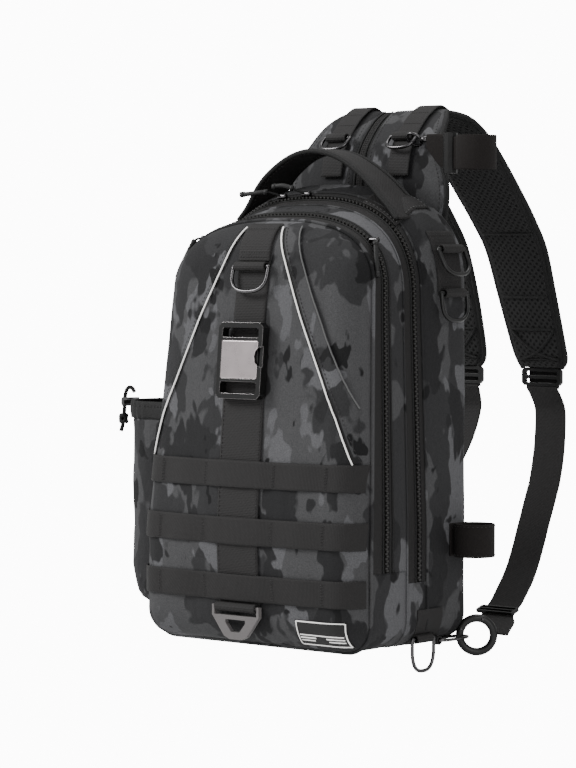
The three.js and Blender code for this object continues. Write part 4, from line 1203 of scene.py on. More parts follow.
@dataclass
class Drape:
    """Lays flat trim on the body, as it is sewn on."""

    form: BVHTree

    def hit(self, side: Side, a: float, b: float) -> tuple:
        """Finds the body's surface.

        Args:
            side: the side that is looked at.
            a: place across, along X on the front and top and along Y on the sides, in mm.
            b: height in mm, on the top the place along Y.

        Returns:
            The point and its outward direction.
        """
        way = Vector(side.value)
        starts = {Side.FRONT: (a, -400, b), Side.TOP: (a, b, 700)}
        start = Vector(starts.get(side, (-400 * way.x, a, b)))
        place, normal, _, _ = self.form.ray_cast(start, way)
        if place is None:
            place, normal, _, _ = self.form.find_nearest(Vector((start.x, start.y * 0.2, start.z)))
        if normal.dot(way) > 0:
            normal = -normal
        return place, normal

    def band(
        self,
        name: str,
        side: Side,
        line: list,
        width: float,
        material: Material,
        lift: float = 0.3,
        thick: float = PLY,
        bulge: list | None = None,
    ) -> Object:
        """Lays a band along a line.

        Args:
            name: the object's name.
            side: the side that it is laid on.
            line: (a, b) places along its middle in mm.
            width: its width in mm.
            material: the material it gets.
            lift: distance of its underside from the cloth in mm.
            thick: its thickness in mm.
            bulge: extra lift in mm at each place, if any.

        Returns:
            The new object.
        """
        rows = []
        shares = (-1, -0.94, -0.8, -0.5, -0.2, 0.2, 0.5, 0.8, 0.94, 1)
        half = width / 2
        for i, (a, b) in enumerate(line):
            before, after = line[max(i - 1, 0)], line[min(i + 1, len(line) - 1)]
            da, db = after[0] - before[0], after[1] - before[1]
            size = math.hypot(da, db) or 1.0
            under = lift + (bulge[i] if bulge else 0.0)
            top, low = [], []
            for s in shares:
                place, normal = self.hit(side, a - db / size * s * half, b + da / size * s * half)
                edge = 0.55 if abs(s) == 1 else 1.0
                top.append(place + normal * (under + thick * edge))
                low.append(place + normal * (under + thick * (1 - edge)))
            rows.append(top + list(reversed(low)))
        return Shape.grid(name, rows, material, closed=True, caps=True)

    def stitching(
        self, name: str, side: Side, line: list, lift: float, material: Material, pitch: float = 4.2
    ) -> Object:
        """Sews a row of stitches along a line.

        Args:
            name: the object's name.
            side: the side that it is on.
            line: (a, b) places along it in mm.
            lift: height over the cloth in mm.
            material: the thread's material.
            pitch: distance from stitch to stitch in mm.

        Returns:
            The new object.
        """
        spots = [self.hit(side, a, b) for a, b in line]
        return sewn(name, [place + normal * lift for place, normal in spots], material, pitch)


def sewn(name: str, points: list, material: Material, pitch: float = 4.2) -> Object:
    """Makes a row of small stitches along a line in space.

    Args:
        name: the object's name.
        points: the line in mm.
        material: the thread's material.
        pitch: distance from stitch to stitch in mm.

    Returns:
        The new object.
    """
    line = resample(points, max(int(length_of(points) / pitch) * 4 + 1, 5))
    corners, faces = [], []
    for i in range(0, len(line) - 3, 4):
        start, end = line[i], line[i + 3]
        along = (end - start).normalized()
        one = along.orthogonal().normalized() * 0.42
        two = along.cross(one)
        middle = (start + end) / 2
        base = len(corners)
        corners += [start, end, middle + one, middle + two, middle - one, middle - two]
        for a, b in ((2, 3), (3, 4), (4, 5), (5, 2)):
            faces += [[base, base + a, base + b], [base + 1, base + b, base + a]]
    return Shape.mesh(name, corners, faces, material)


def settle(obj: Object, node: str, body: str = "bag") -> Object:
    """Attaches a piece to the body that it rides on, and hides the CAD node that it stands for.

    Args:
        obj: the piece.
        node: the CAD node it stands for, or an empty text.
        body: the body that it rides on.

    Returns:
        The piece.
    """
    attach(obj, body)
    if node:
        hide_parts(node)
    LOG.info("piece %s on %s", obj.name, body)
    return obj


def fitted(node: str, name: str, material: Material, bevel: float) -> Object:
    """Makes a rounded copy of a CAD node that stands for it on the bag."""
    return settle(Shape.dressed(node, name, material, bevel), node)


def hoop(
    name: str,
    centre: Vector,
    axis: Vector,
    height: float,
    material: Material,
    radius: float = 4.3,
    ply: float = PLY,
    sides: int = 24,
) -> Object:
    """Makes a short open tube of webbing, such as the loop that holds a ring.

    Args:
        name: the object's name.
        centre: its middle in mm.
        axis: direction of its axis.
        height: its length along the axis in mm.
        material: the material it gets.
        radius: outer radius in mm.
        ply: thickness of its wall in mm.
        sides: how many sides its round has.

    Returns:
        The new object.
    """
    one = axis.orthogonal().normalized()
    two = axis.cross(one)
    inside = [(0.15 * ply, -0.5), (0, -0.47), (0, 0.47), (0.15 * ply, 0.5)]
    outside = [(ply * 0.85, 0.5), (ply, 0.47), (ply, -0.47), (ply * 0.85, -0.5)]
    rows = []
    for k in range(sides):
        a = 2 * math.pi * k / sides
        out = one * math.cos(a) + two * math.sin(a)
        rows.append([centre + out * (radius - d) + axis * (h * height) for d, h in inside + outside])
    rows.append(rows[0])
    obj = Shape.grid(name, rows, material, closed=True)
    Shape.face_out(obj, WELD)
    return obj


@dataclass
class FrontTrim:
    """The webbing, piping, buckle and patch on the front panel."""

    palette: Palette
    drape: Drape
    strip_top: float = HEIGHT - 41
    fold: float = HEIGHT - 77
    buckle: float = HEIGHT - 165
    row_top: float = 172.0
    pitch: float = 52.5
    row_width: float = 25.0
    tacks: tuple = (-99, -41, 41, 99)

    def strip(self) -> None:
        """Builds the middle strip with its fold, its loops and its stitching."""
        d, p = self.drape, self.palette
        bands = [
            d.band(name, Side.FRONT, run((0, low), (0, high)), width, p.webbing, lift)
            for name, low, high, width, lift in (
                ("strip_low", 35, self.buckle, 50, 0.3),
                ("strip_high", self.buckle - 4, self.strip_top + 2, 38, 0.3),
                ("strip_fold", self.fold + 4, self.strip_top, 38, 2.0),
            )
        ]
        loops = [
            hoop("fold_loop", FOLD_PIVOT, X_AXIS, 37, p.webbing),
            hoop("foot_loop", TRIANGLE_PIVOT, X_AXIS, 49, p.webbing),
        ]
        # Ends, lift and pitch of each sewn line
        spans = [((x, 44), (x, self.buckle - 36), 2.2, 4.2) for x in (-22.5, 22.5)]
        for b in (self.fold + 8, self.fold + 12, self.strip_top - 4):
            spans.append(((-17, b), (17, b), 3.9, 3.0))
        seams = [
            d.stitching(f"strip_seam_{k}", Side.FRONT, run(start, end), lift, p.stitch, pitch)
            for k, (start, end, lift, pitch) in enumerate(spans)
        ]
        settle(Shape.join("middle_strip", [*bands, *loops, *seams]), "front_strip")

    def slack(self, x: float, reach: float) -> float:
        """Works out how far a row stands out between the places where it is sewn down.

        Args:
            x: place across the panel in mm.
            reach: half the row's length in mm.

        Returns:
            Extra lift in mm, which is larger where the row crosses the middle strip.
        """
        stops = (-reach, *self.tacks, reach)
        for a, b in zip(stops, stops[1:]):
            if a <= x <= b:
                over = 1.7 if a == self.tacks[1] else 0.0
                slope = min(1.0, (x - a) / 14, (b - x) / 14)
                return over * slope + 1.3 * math.sin(math.pi * (x - a) / (b - a)) ** 2
        return 0.0

    def rows(self) -> None:
        """Builds the three rows across the panel, tacked down between their loops."""
        d, p = self.drape, self.palette
        for i in range(3):
            middle = self.row_top - i * self.pitch - self.row_width / 2
            reach = half_width(middle) - 1.0
            line = [(reach * math.sin(math.radians(t)), middle) for t in np.linspace(-90, 90, 90)]
            lifts = [self.slack(x, reach) for x, _ in line]
            pieces = [d.band(f"row_{i}", Side.FRONT, line, self.row_width, p.webbing, bulge=lifts)]
            for x in self.tacks:
                for k in range(-1, 2):
                    span = run((x + 1.1 * k, middle - 10.5), (x + 1.1 * k, middle + 10.5), 12)
                    pieces.append(d.stitching(f"tack_{i}_{x}_{k}", Side.FRONT, span, 2.1, p.stitch, 2.4))
            node = f"webbing_row_{i + 1}"
            settle(Shape.join(f"{node}_cloth", pieces), node)

    def piping(self) -> None:
        """Builds the two reflective cords with the seam allowance that they are sewn in."""
        d, p = self.drape, self.palette
        route = [(22.0, self.strip_top - 1), (60, 307), (105.0, self.row_top + 40), (120, 172)]
        for side, name in SIDES:
            line = resample([Vector((side * a, b, 0)) for a, b in route], 70)
            spots = [d.hit(Side.FRONT, q.x, q.y) for q in line]
            cord = Shape.tube(f"cord_{name}", [s + n * 1.6 for s, n in spots], 0.8, p.reflective, sides=10)
            beside, sewn_at = ([(q.x + side * away, q.y) for q in line] for away in (1.2, 5.5))
            flange = d.band(f"flange_{name}", Side.FRONT, beside, 3.4, p.binding, 0.2, 0.5)
            seam = d.stitching(f"top_{name}", Side.FRONT, sewn_at, 1.2, p.stitch)
            pieces = [cord, flange, seam]
            if side > 0:
                pieces += self.pleat(line)
            settle(Shape.join(f"reflective_{name}", pieces), f"reflective_piping_{name}")

    def pleat(self, line: list) -> list:
        """Makes the cloth that is folded back beside the right cord.

        Args:
            line: the cord's route on the front.

        Returns:
            The cloth, and a pale cord along its fold as a painted highlight.
        """
        rows, rim = [], []
        for q in line:
            room = half_width(q.y) - 4 - q.x
            reach = min(21.0, room)
            # Near the zip tape the fold flattens into the seam
            fold = min(1.0, max(0.0, (room - 15) / 12))
            row = []
            for k in range(9):
                share = k / 8
                place, normal = self.drape.hit(Side.FRONT, q.x + 2 + (reach - 2) * share, q.y)
                row.append(place + normal * (0.5 + 1.9 * fold * share**1.5))
            rows.append(row)
            # The pale cord along the fold's crest is a painted highlight
            if fold > 0.4:
                rim.append(row[-1])
        cloth = Shape.grid("pleat_cloth", rows, self.palette.camo)
        Shape.solidify(cloth, 1.2)
        return [cloth, Shape.tube("pleat_fold_highlight", rim, 0.8, self.palette.edge, sides=8)]

    def patch(self) -> None:
        """Builds the rubber patch: plain black with a white frame and stripes, and no words."""
        d, p = self.drape, self.palette
        x, z, half, tall = WIDTH / 2 - 38, 18.0, 27.0, 11.5
        base = run((x - half, z), (x + half, z), 24)
        left, right, low, high = x - half + 1, x + half - 1, z - tall + 1, z + tall - 1
        inner_left, inner_right = x - half + 3, x + half - 3
        lines = (
            ((left, high), (right, high)),
            ((left, low), (right, low)),
            ((left, low), (left, high)),
            ((right, low), (right, high)),
            ((inner_left, z - 1.5), (inner_right, z - 1.5)),
            ((inner_left, z - 4), (x - 6, z - 4)),
            ((x + 6, z - 4), (inner_right, z - 4)),
            ((inner_left, z - 6.5), (x - 8, z - 6.5)),
            ((x + 8, z - 6.5), (inner_right, z - 6.5)),
        )
        pieces = [d.band("patch_base", Side.FRONT, base, 2 * tall, p.rubber, 0.4, 1.0)]
        for k, (a, b) in enumerate(lines):
            pieces.append(d.band(f"patch_line_{k}", Side.FRONT, run(a, b, 16), 1.0, p.reflective, 1.3, 0.4))
        settle(Shape.join("patch", pieces), "label_patch")

    def hardware(self) -> None:
        """Builds the black buckle with pale metal on its bevelled edges as painted highlights, its face plate
        in pale metal as a painted reflection, and the triangular ring.
        """
        p = self.palette
        buckle = fitted("buckle_frame", "buckle_body", p.plastic, 0.9)
        # The bevelled edges get pale metal as painted highlights
        buckle.data.materials.append(p.rim)
        buckle.modifiers["edges"].material = 1
        # The face plate's pale metal is a painted reflection on the black buckle
        fitted("buckle_plate", "buckle_face", p.satin, 0.8)
        triangle = Shape.dressed("triangle_ring", "grey_triangle", p.grey, 1.1, 4, 25)
        settle(triangle, "triangle_ring", "triangle_ring")

    def build(self) -> None:
        """Builds everything on the front."""
        self.strip()
        self.rows()
        self.piping()
        self.patch()
        self.hardware()


@dataclass(frozen=True)
class RingKind:
    """A D-ring: its outer width and drop, its wire's radius, and how it is turned and tilted in degrees."""

    width: float
    drop: float
    radius: float
    turn: float = 0.0
    tilt: float = 0.0


FRONT_RING = RingKind(46, 26, 1.8, tilt=15)
STRAP_RING = RingKind(35, 18, 1.8, tilt=46)
BASE_RING = RingKind(36, 32, 1.8, turn=90)


@dataclass
class Rings:
    """The D-rings and round rings, each at its pivot."""

    palette: Palette

    def d_ring(self, name: str, kind: RingKind, pivot: Vector, material: Material) -> Object:
        """Builds one D-ring that hangs from its straight bar.

        Args:
            name: the object's name.
            kind: its sizes and how it hangs.
            pivot: middle of its bar in mm.
            material: the material it gets.

        Returns:
            The new object.
        """
        half, bow = kind.width / 2 - kind.radius, kind.drop - kind.radius
        flat = [Vector((half * (k / 8 - 1), 0, 0)) for k in range(17)]
        power = 2 / 2.6
        for k in range(41):
            a = math.pi * k / 40
            x = half * math.copysign(abs(math.cos(a)) ** power, math.cos(a))
            flat.append(Vector((x, 0, -bow * (0.3 + 0.7 * math.sin(a) ** power))))
        turned = Matrix.Rotation(math.radians(kind.turn), 3, "Z")
        place = turned @ Matrix.Rotation(math.radians(-kind.tilt), 3, "X")
        path = resample([place @ q + pivot for q in flat], 90, closed=True)
        return Shape.tube(name, path, kind.radius, material, closed=True, sides=14)

    def link(self) -> Object:
        """Builds the long round-cornered ring that the base tab holds.

        Returns:
            The new object.
        """
        half_x, half_y, power = 8, 21.5, 2 / 3
        line = []
        for k in range(60):
            a = 2 * math.pi * k / 60
            c, s = math.cos(a), math.sin(a)
            x = LINK_CENTRE.x + math.copysign(abs(c) ** power, c) * half_x
            y = LINK_CENTRE.y + math.copysign(abs(s) ** power, s) * half_y
            line.append(Vector((x, y, LINK_CENTRE.z)))
        return Shape.tube("link_form", resample(line, 72, True), 1.5, self.palette.steel, True)

    def gate(self, side: int, name: str) -> None:
        """Builds one big plastic ring with the hinge pins of its gate.

        Args:
            side: -1 for the left, 1 for the right.
            name: the side's name.
        """
        centre, flat = gate_place(side)
        facing = Vector((side * math.sin(GATE_TURN), -math.cos(GATE_TURN), 0))
        line = circle(centre, flat, Z_AXIS, GATE_RADIUS, full_turn(72))
        pieces = [Shape.tube(f"gate_{name}", line, 3.8, self.palette.plastic, True, 16)]
        for spot in circle(centre, flat, Z_AXIS, GATE_RADIUS, (math.radians(70), math.radians(160))):
            ends = [spot - facing * 4.3, spot + facing * 4.3]
            pieces.append(Shape.tube(f"pin_{name}_{len(pieces)}", ends, 1.5, self.palette.steel, sides=12))
        node = f"gate_ring_{name}"
        settle(Shape.join(f"{node}_form", pieces), node)

    def build(self) -> None:
        """Builds every ring and lets the loose ones ride on their own bodies."""
        p = self.palette
        front = self.d_ring("front_ring", FRONT_RING, FOLD_PIVOT, p.steel)
        settle(front, "front_d_ring", "front_d_ring")
        for side, name in SIDES:
            for level, x, z, tilt in SIDE_RINGS:
                node = f"side_ring_{level}_{name}"
                kind = RingKind(43, 28, 2.0, side * 90, tilt)
                obj = self.d_ring(f"{node}_form", kind, Vector((side * x, SIDE_WEBBING_Y, z)), p.plastic)
                settle(obj, node, node)
            node = f"strap_ring_{name}"
            strap = self.d_ring(f"{node}_form", STRAP_RING, strap_pivot(side), p.steel)
            settle(strap, node, node if side < 0 else "bag")
            self.gate(side, name)
        base = self.d_ring("base_ring_form", BASE_RING, BASE_PIVOT, p.steel)
        settle(base, "base_ring", "base_ring")
        settle(self.link(), "link_ring")


@dataclass
class Sides:
    """The side webbing, bottle pocket, drawcord, base tab and rod loop."""

    palette: Palette
    drape: Drape
    pocket_x: float = -164.0
    pocket_y: float = 2.0
    radius: float = 42.0
    floor: float = 21.0
    hem_low: float = 203.0
    hem_height: float = 17.0

    def webbing(self) -> None:
        """Builds the webbing that carries the side rings."""
        d, p = self.drape, self.palette
        line = run((SIDE_WEBBING_Y, HEIGHT - 104), (SIDE_WEBBING_Y, HEIGHT - 45), 24)
        for (sign, name), side in zip(SIDES, (Side.LEFT, Side.RIGHT)):
            pieces = [d.band(f"side_band_{name}", side, line, 32, p.webbing)]
            for level, x, z, _ in SIDE_RINGS:
                pivot = Vector((sign * x, SIDE_WEBBING_Y, z))
                pieces.append(hoop(f"side_loop_{name}_{level}", pivot, Y_AXIS, 31, p.webbing))
            for b in (HEIGHT - 49, HEIGHT - 70, HEIGHT - 92):
                seam = run((SIDE_WEBBING_Y - 14, b), (SIDE_WEBBING_Y + 14, b))
                pieces.append(d.stitching(f"side_seam_{name}{b:.0f}", side, seam, 2.1, p.stitch, 3.0))
            node = f"side_webbing_{name}"
            settle(Shape.join(f"{node}_cloth", pieces), node)

    def wall(self, z: float, grow: float, inset: float, wave: float = 0.0) -> list:
        """Follows the pocket's wall at one level, from its front edge round to its back edge.

        Args:
            z: height of the level in mm.
            grow: distance outside the cloth in mm.
            inset: how far the wall is drawn in, in mm.
            wave: height of its gathers in mm.

        Returns:
            POCKET_POINTS points in mm.
        """
        reach = self.radius + grow - inset
        foot = -WIDTH / 2 - 2.4
        steps = [foot + (self.pocket_x - foot) * k / 6 for k in range(6)]
        front = [Vector((x, self.pocket_y - reach, z)) for x in steps]
        back = [Vector((x, self.pocket_y + reach, z)) for x in reversed(steps)]
        bow = []
        for k in range(49):
            a = math.radians(-90 - k * 3.75)
            out = reach + wave * math.sin(k * 1.9)
            bow.append(Vector((self.pocket_x + math.cos(a) * out, self.pocket_y + math.sin(a) * out, z)))
        return front + bow + back

    def pocket(self) -> None:
        """Builds the bottle pocket with its gathered elastic hem and bound edges."""
        p = self.palette
        # Height, and how far the wall is drawn in there
        base = [(self.floor, 20), (22.5, 15), (27, 9), (33, 5), (41, 2.5), (52, 0.8)]
        levels = [*base, *((60 + 10 * k, 0) for k in range(15)), (205, 0.3)]
        bottom = [Vector((self.pocket_x, self.pocket_y, self.floor))] * POCKET_POINTS
        foot = self.wall(self.floor, 0, 20)
        rows = [[a.lerp(b, k) for a, b in zip(bottom, foot)] for k in (0.1, 0.5)]
        rows += [self.wall(z, 0, inset) for z, inset in levels]
        cup = Shape.grid("pocket_cup", rows, p.camo)
        Shape.ripple(cup, 1.5, 48, 21.0)
        Shape.solidify(cup, PLY)
        settle(cup, "bottle_pocket")
        hem_rows = []
        for k in range(9):
            z = self.hem_low + self.hem_height * k / 8
            hem_rows.append(self.wall(z, 1.2 + math.sin(math.pi * k / 8), 0, 0.8))
        hem = Shape.grid("hem_band", hem_rows, p.binding)
        Shape.solidify(hem, 2.0)
        pieces = [hem]
        for index in (0, POCKET_POINTS - 1):
            line = [self.wall(z, 1.0, inset)[index] for z, inset in levels[3:]]
            pieces.append(Shape.tube(f"pocket_edge_{index}", line, 1.8, p.binding))
        seam = []
        for q in hem_rows[4]:
            spot = q + Vector((0, 0, 4))
            out = (spot - Vector((self.pocket_x, self.pocket_y, spot.z))).normalized()
            seam.append(spot + out * 0.4)
        pieces.append(sewn("hem_seam", seam, p.stitch))
        settle(Shape.join("pocket_hem_cloth", pieces), "pocket_hem")

    def drawcord(self) -> None:
        """Builds the pocket's drawcord at its full length, its knot and its lock."""
        p = self.palette
        start = Vector((-210.1, -8.0, 226.5))
        offsets = [
            (0, 0, 0), (-2.5, 0, 3.5), (-6, -0.5, 4.6), (-9, -1, 2.5), (-10.6, -1.5, -2), (-11.2, -2, -8),
            (-11.4, -2, -14), (-11.8, -2, -19), (-12.4, -2, -24), (-13, -2.2, -29), (-14, -2.5, -34),
            (-15.4, -3, -39),
        ]
        line = smooth_path([start + Vector(o) for o in offsets], 4)
        curve = bpy.data.curves.new("drawcord", "CURVE")
        curve.dimensions = "3D"
        spline = curve.splines.new("POLY")
        spline.points.add(len(line) - 1)
        for point, q in zip(spline.points, line):
            point.co = (*row_point(q), 1)
        curve.bevel_depth = 0.002
        curve.bevel_resolution = 4
        curve.use_fill_caps = True
        curve.materials.append(p.binding)
        cord = bpy.data.objects.new("drawcord", curve)
        bpy.context.scene.collection.objects.link(cord)
        middle = (start + Vector(offsets[8]) + start + Vector(offsets[9])) / 2
        turns = []
        for k in range(80):
            a = 2 * math.pi * k / 80
            swing = Vector((3.0 * math.cos(2 * a), 3.0 * math.sin(2 * a), 3.4 * math.sin(3 * a)))
            turns.append(middle + swing)
        knot = Shape.tube("drawcord_knot", turns, 1.9, p.binding, True)
        settle(knot, "")
        settle(cord, "pocket_cord")
        fitted("cord_lock", "barrel_lock_small", p.plastic, 0.8)

    def corner(self) -> None:
        """Builds the base tab and the lower rod loop."""
        p = self.palette
        settle(Shape.dressed("base_tab", "corner_tab", p.webbing, 0.3, 2), "base_tab")
        centre = Vector((WIDTH / 2 + 20.3, DEPTH / 2 - 23, 96))
        outer = hoop("rod_hoop", centre, Z_AXIS, 31, p.fuzzy, ROD_RADIUS, 2.2, 64)
        path = [(WIDTH / 2 + x, centre.y + y, 96) for x, y in ((1.2, -13), (1.3, 0), (1.2, 13))]
        foot = Shape.ribbon("rod_foot", path, Z_AXIS, [31], PLY, p.fuzzy)
        pieces = [outer, foot]
        for h in (-13.5, 13.5):
            line = circle(centre + Z_AXIS * h, X_AXIS, Y_AXIS, ROD_RADIUS + 0.2, np.linspace(-2.9, 2.9, 60))
            pieces.append(sewn(f"rod_seam_{h}", line, p.stitch))
        settle(Shape.join("rod_loop_cloth", pieces), "rod_loop")

    def build(self) -> None:
        """Builds everything on the sides."""
        self.webbing()
        self.pocket()
        self.drawcord()
        self.corner()


@dataclass(frozen=True)
class StrapRow:
    """One place along the straps: depth behind the bag's back, height over its top, and the straps' edges."""

    behind: float
    rise: float
    left: tuple
    right: tuple

    @property
    def middle(self) -> Vector:
        """The place on the bag's mid-plane in mm."""
        return Vector((0, DEPTH / 2 + self.behind, HEIGHT + self.rise))


STRAP_ROWS = (
    StrapRow(7, -52, (-1.44, -0.16), (-0.16, 1.44)),
    StrapRow(7, -29, (-1.52, -0.16), (-0.16, 1.52)),
    StrapRow(7.5, -9, (-1.55, -0.16), (-0.16, 1.55)),
    StrapRow(9, 8, (-1.5, -0.16), (-0.16, 1.5)),
    StrapRow(13, 28, (-1.36, -0.16), (-0.16, 1.36)),
    StrapRow(20, 41, (-1.27, -0.16), (-0.16, 1.27)),
    StrapRow(31, 54, (-1.2, -0.16), (-0.16, 1.2)),
    StrapRow(42, 63.5, (-1.11, -0.16), (-0.16, 1.11)),
    StrapRow(55, 70, (-1.0, -0.16), (-0.16, 1.0)),
    StrapRow(69, 64, (-1.06, -0.19), (0, 1.24)),
    StrapRow(85, 47, (-1.1, -0.16), (0.17, 1.4)),
    StrapRow(105, 24, (-1.1, -0.13), (0.23, 1.46)),
    StrapRow(135, -8, (-1.1, -0.13), (0.25, 1.46)),
    StrapRow(158, -34, (-1.1, -0.13), (0.27, 1.45)),
    StrapRow(178, -62, (-1.1, -0.13), (0.3, 1.44)),
    StrapRow(196, -108, (-1.1, -0.14), (0.34, 1.42)),
    StrapRow(212, -157, (-1.08, -0.18), (0.42, 1.42)),
    StrapRow(217.5, -173, (-1.04, -0.24), (0.47, 1.4)),
    StrapRow(217.5, -181, (-0.96, -0.34), (0.56, 1.32)),
)

# The lower webbing from lock to slide: shares of the way outwards, forwards and down
LOWER_ROWS = (
    (0, 0, 0.0014), (0, 0, 0.014), (0.02, -0.03, 0.047), (0.06, -0.068, 0.126), (0.14, -0.014, 0.28),
    (0.26, 0.095, 0.43), (0.36, 0.203, 0.523), (0.48, 0.331, 0.621), (0.7, 0.574, 0.808),
    (0.9, 0.845, 0.949), (1, 1, 1),
)


@dataclass
class Straps:
    """The two padded straps, the zip between them, their webbing, locks and tails."""

    palette: Palette
    width: float = 62.0
    zip_x: float = -10.0
    zipped_rows: int = 9
    thick: float = 7.5
    puff: float = 2.4
    quilting: tuple = (43.0, 107.0, 141.0, 171.0)

    def face_point(self, index: int, x: float, shift: float) -> Vector:
        """Finds a point over a strap's outer face.

        Args:
            index: number of the row.
            x: place across in mm.
            shift: height over the middle of the strap in mm.

        Returns:
            The point in mm.
        """
        before, after = STRAP_ROWS[max(index - 1, 0)], STRAP_ROWS[index + 1]
        along = Vector((0, after.behind - before.behind, after.rise - before.rise)).normalized()
        return STRAP_ROWS[index].middle + Vector((x, 0, 0)) + Vector((0, -along.z, along.y)) * shift

    def route(self, side: int) -> tuple:
        """Works out where one strap runs.

        Args:
            side: -1 for the left, 1 for the right.

        Returns:
            The points along its middle in mm, and its width at each.
        """
        path, widths = [], []
        for i, row in enumerate(STRAP_ROWS):
            low, high = [share * self.width for share in (row.right if side > 0 else row.left)]
            if i < self.zipped_rows:
                gap = self.zip_x + side * 5.9
                low, high = (max(low, gap), high) if side > 0 else (low, min(high, gap))
            path.append(row.middle + Vector(((low + high) / 2, 0, 0)))
            widths.append(high - low - 1.0)
        return path, widths

    def quilted(self, name: str, line: list, spans: list, seams: list) -> list:
        """Makes the bound lines across a pad, with a crossed pair between the last two.

        Args:
            name: the side's name.
            line: the strap's middle line in mm.
            spans: its width at each point.
            seams: numbers of the points with a sewn line.

        Returns:
            The lines as tubes.
        """
        crossings = [(k, k, 1) for k in seams] + [(seams[-2], seams[-1], 1), (seams[-2], seams[-1], -1)]
        tubes = []
        for number, (first, last, turn) in enumerate(crossings):
            rise = self.puff if first != last else 0.7
            seam = []
            for k in range(13):
                share = 0.84 * (k / 6 - 1)
                place = first + (last - first) * k / 12
                low = int(place)
                after = min(low + 1, len(line) - 1)
                spot = line[low].lerp(line[after], place - low)
                face = (line[after] - line[low - 1]).normalized().cross(X_AXIS).normalized()
                lift = self.thick / 2 + rise * (1 - share * share)
                seam.append(spot + X_AXIS * (turn * share * spans[low] / 2) + face * lift)
            tubes.append(Shape.tube(f"quilt_{name}_{number}", seam, 1.5, self.palette.binding, sides=8))
        return tubes

    def pad(self, side: int, name: str) -> None:
        """Builds one padded strap: cloth outside, spacer mesh inside, quilted and bound.

        Args:
            side: -1 for the left, 1 for the right.
            name: the side's name.
        """
        p = self.palette
        path, widths = self.route(side)
        line, spans = smooth_path(path, 8), spread(widths, (len(path) - 1) * 8 + 1)
        crest = max(range(len(line)), key=lambda k: line[k].z)
        worn = range(crest, len(line))
        seams = [min(worn, key=lambda k: abs(line[k].z - HEIGHT + fall)) for fall in self.quilting]
        pinches = tuple(k / (len(line) - 1) for k in seams)
        pad = Shape.ribbon(
            f"pad_{name}", path, X_AXIS, widths, self.thick, p.camo, self.puff, steps=8, pinches=pinches
        )
        pad.data.materials.append(p.mesh)
        pad.data.materials.append(p.binding)
        caps = len(pad.data.polygons) - 2
        for poly in pad.data.polygons:
            place = poly.index % RIBBON_SIDES
            if poly.index < caps and place < RIBBON_SIDES // 2:
                poly.material_index = 1 if 3 <= place <= 18 else 2
        pieces = [pad, *self.quilted(name, line, spans, seams)]
        for sign in (-1, 1):
            rim = [q + X_AXIS * (sign * w / 2) for q, w in zip(line, spans)]
            pieces.append(Shape.tube(f"rim_{name}_{sign}", rim, 3.0, p.binding, sides=10))
            for face in (-1, 1):
                seam = []
                for i, (q, w) in enumerate(zip(line, spans)):
                    out = heading(line, i).cross(X_AXIS)
                    seam.append(q + X_AXIS * (sign * (w / 2 - 5.5)) + out * (face * 4.2))
                pieces.append(sewn(f"pad_seam_{name}_{sign}_{face}", seam, p.stitch))
        obj = settle(Shape.join(f"shoulder_pad_{name}", pieces), f"strap_{name}")

    def zip(self) -> None:
        """Builds the zip that joins the two straps."""
        p = self.palette
        path = [row.middle + Vector((self.zip_x, 0, 0)) for row in STRAP_ROWS[1 : self.zipped_rows]]
        pieces = [Shape.ribbon("strap_tape", path, X_AXIS, [10.6], 6.5, p.tape)]
        line = smooth_path(path, 8)
        for x in (-1.1, 1.1):
            row = []
            for i, q in enumerate(line):
                along = heading(line, i)
                row.append(q + Vector((x, 0, 0)) + Vector((0, -along.z, along.y)) * 3.6)
            rim = [q + Vector((x * 3.2, 0, 0)) for q in row]
            pieces.append(sewn(f"strap_teeth_{x}", row, p.teeth, 2.4))
            pieces.append(Shape.tube(f"strap_rim_{x}", rim, 0.8, p.binding, sides=8))
        settle(Shape.join("strap_zip", pieces), "strap_zipper")

    def webbing(self, side: int, name: str) -> None:
        """Builds the webbing on one strap with the loop that holds its ring.

        Args:
            side: -1 for the left, 1 for the right.
            name: the side's name.
        """
        p = self.palette
        x = side * STRAP_WEBBING_X
        path = [self.face_point(i, x, 7.6) for i in range(3, 10)]
        pieces = [
            Shape.ribbon(f"yoke_{name}", path, X_AXIS, [25], PLY, p.webbing),
            hoop(f"yoke_loop_{name}", strap_pivot(side), X_AXIS, 24, p.webbing),
        ]
        for k in range(3, 8):
            spot = self.face_point(k, x, 8.6)
            seam = [spot + X_AXIS * shift for shift in (-10.5, 0, 10.5)]
            pieces.append(sewn(f"yoke_seam_{name}_{k}", seam, p.stitch, 2.6))
        node = f"strap_webbing_{name}"
        settle(Shape.join(f"{node}_cloth", pieces), node)

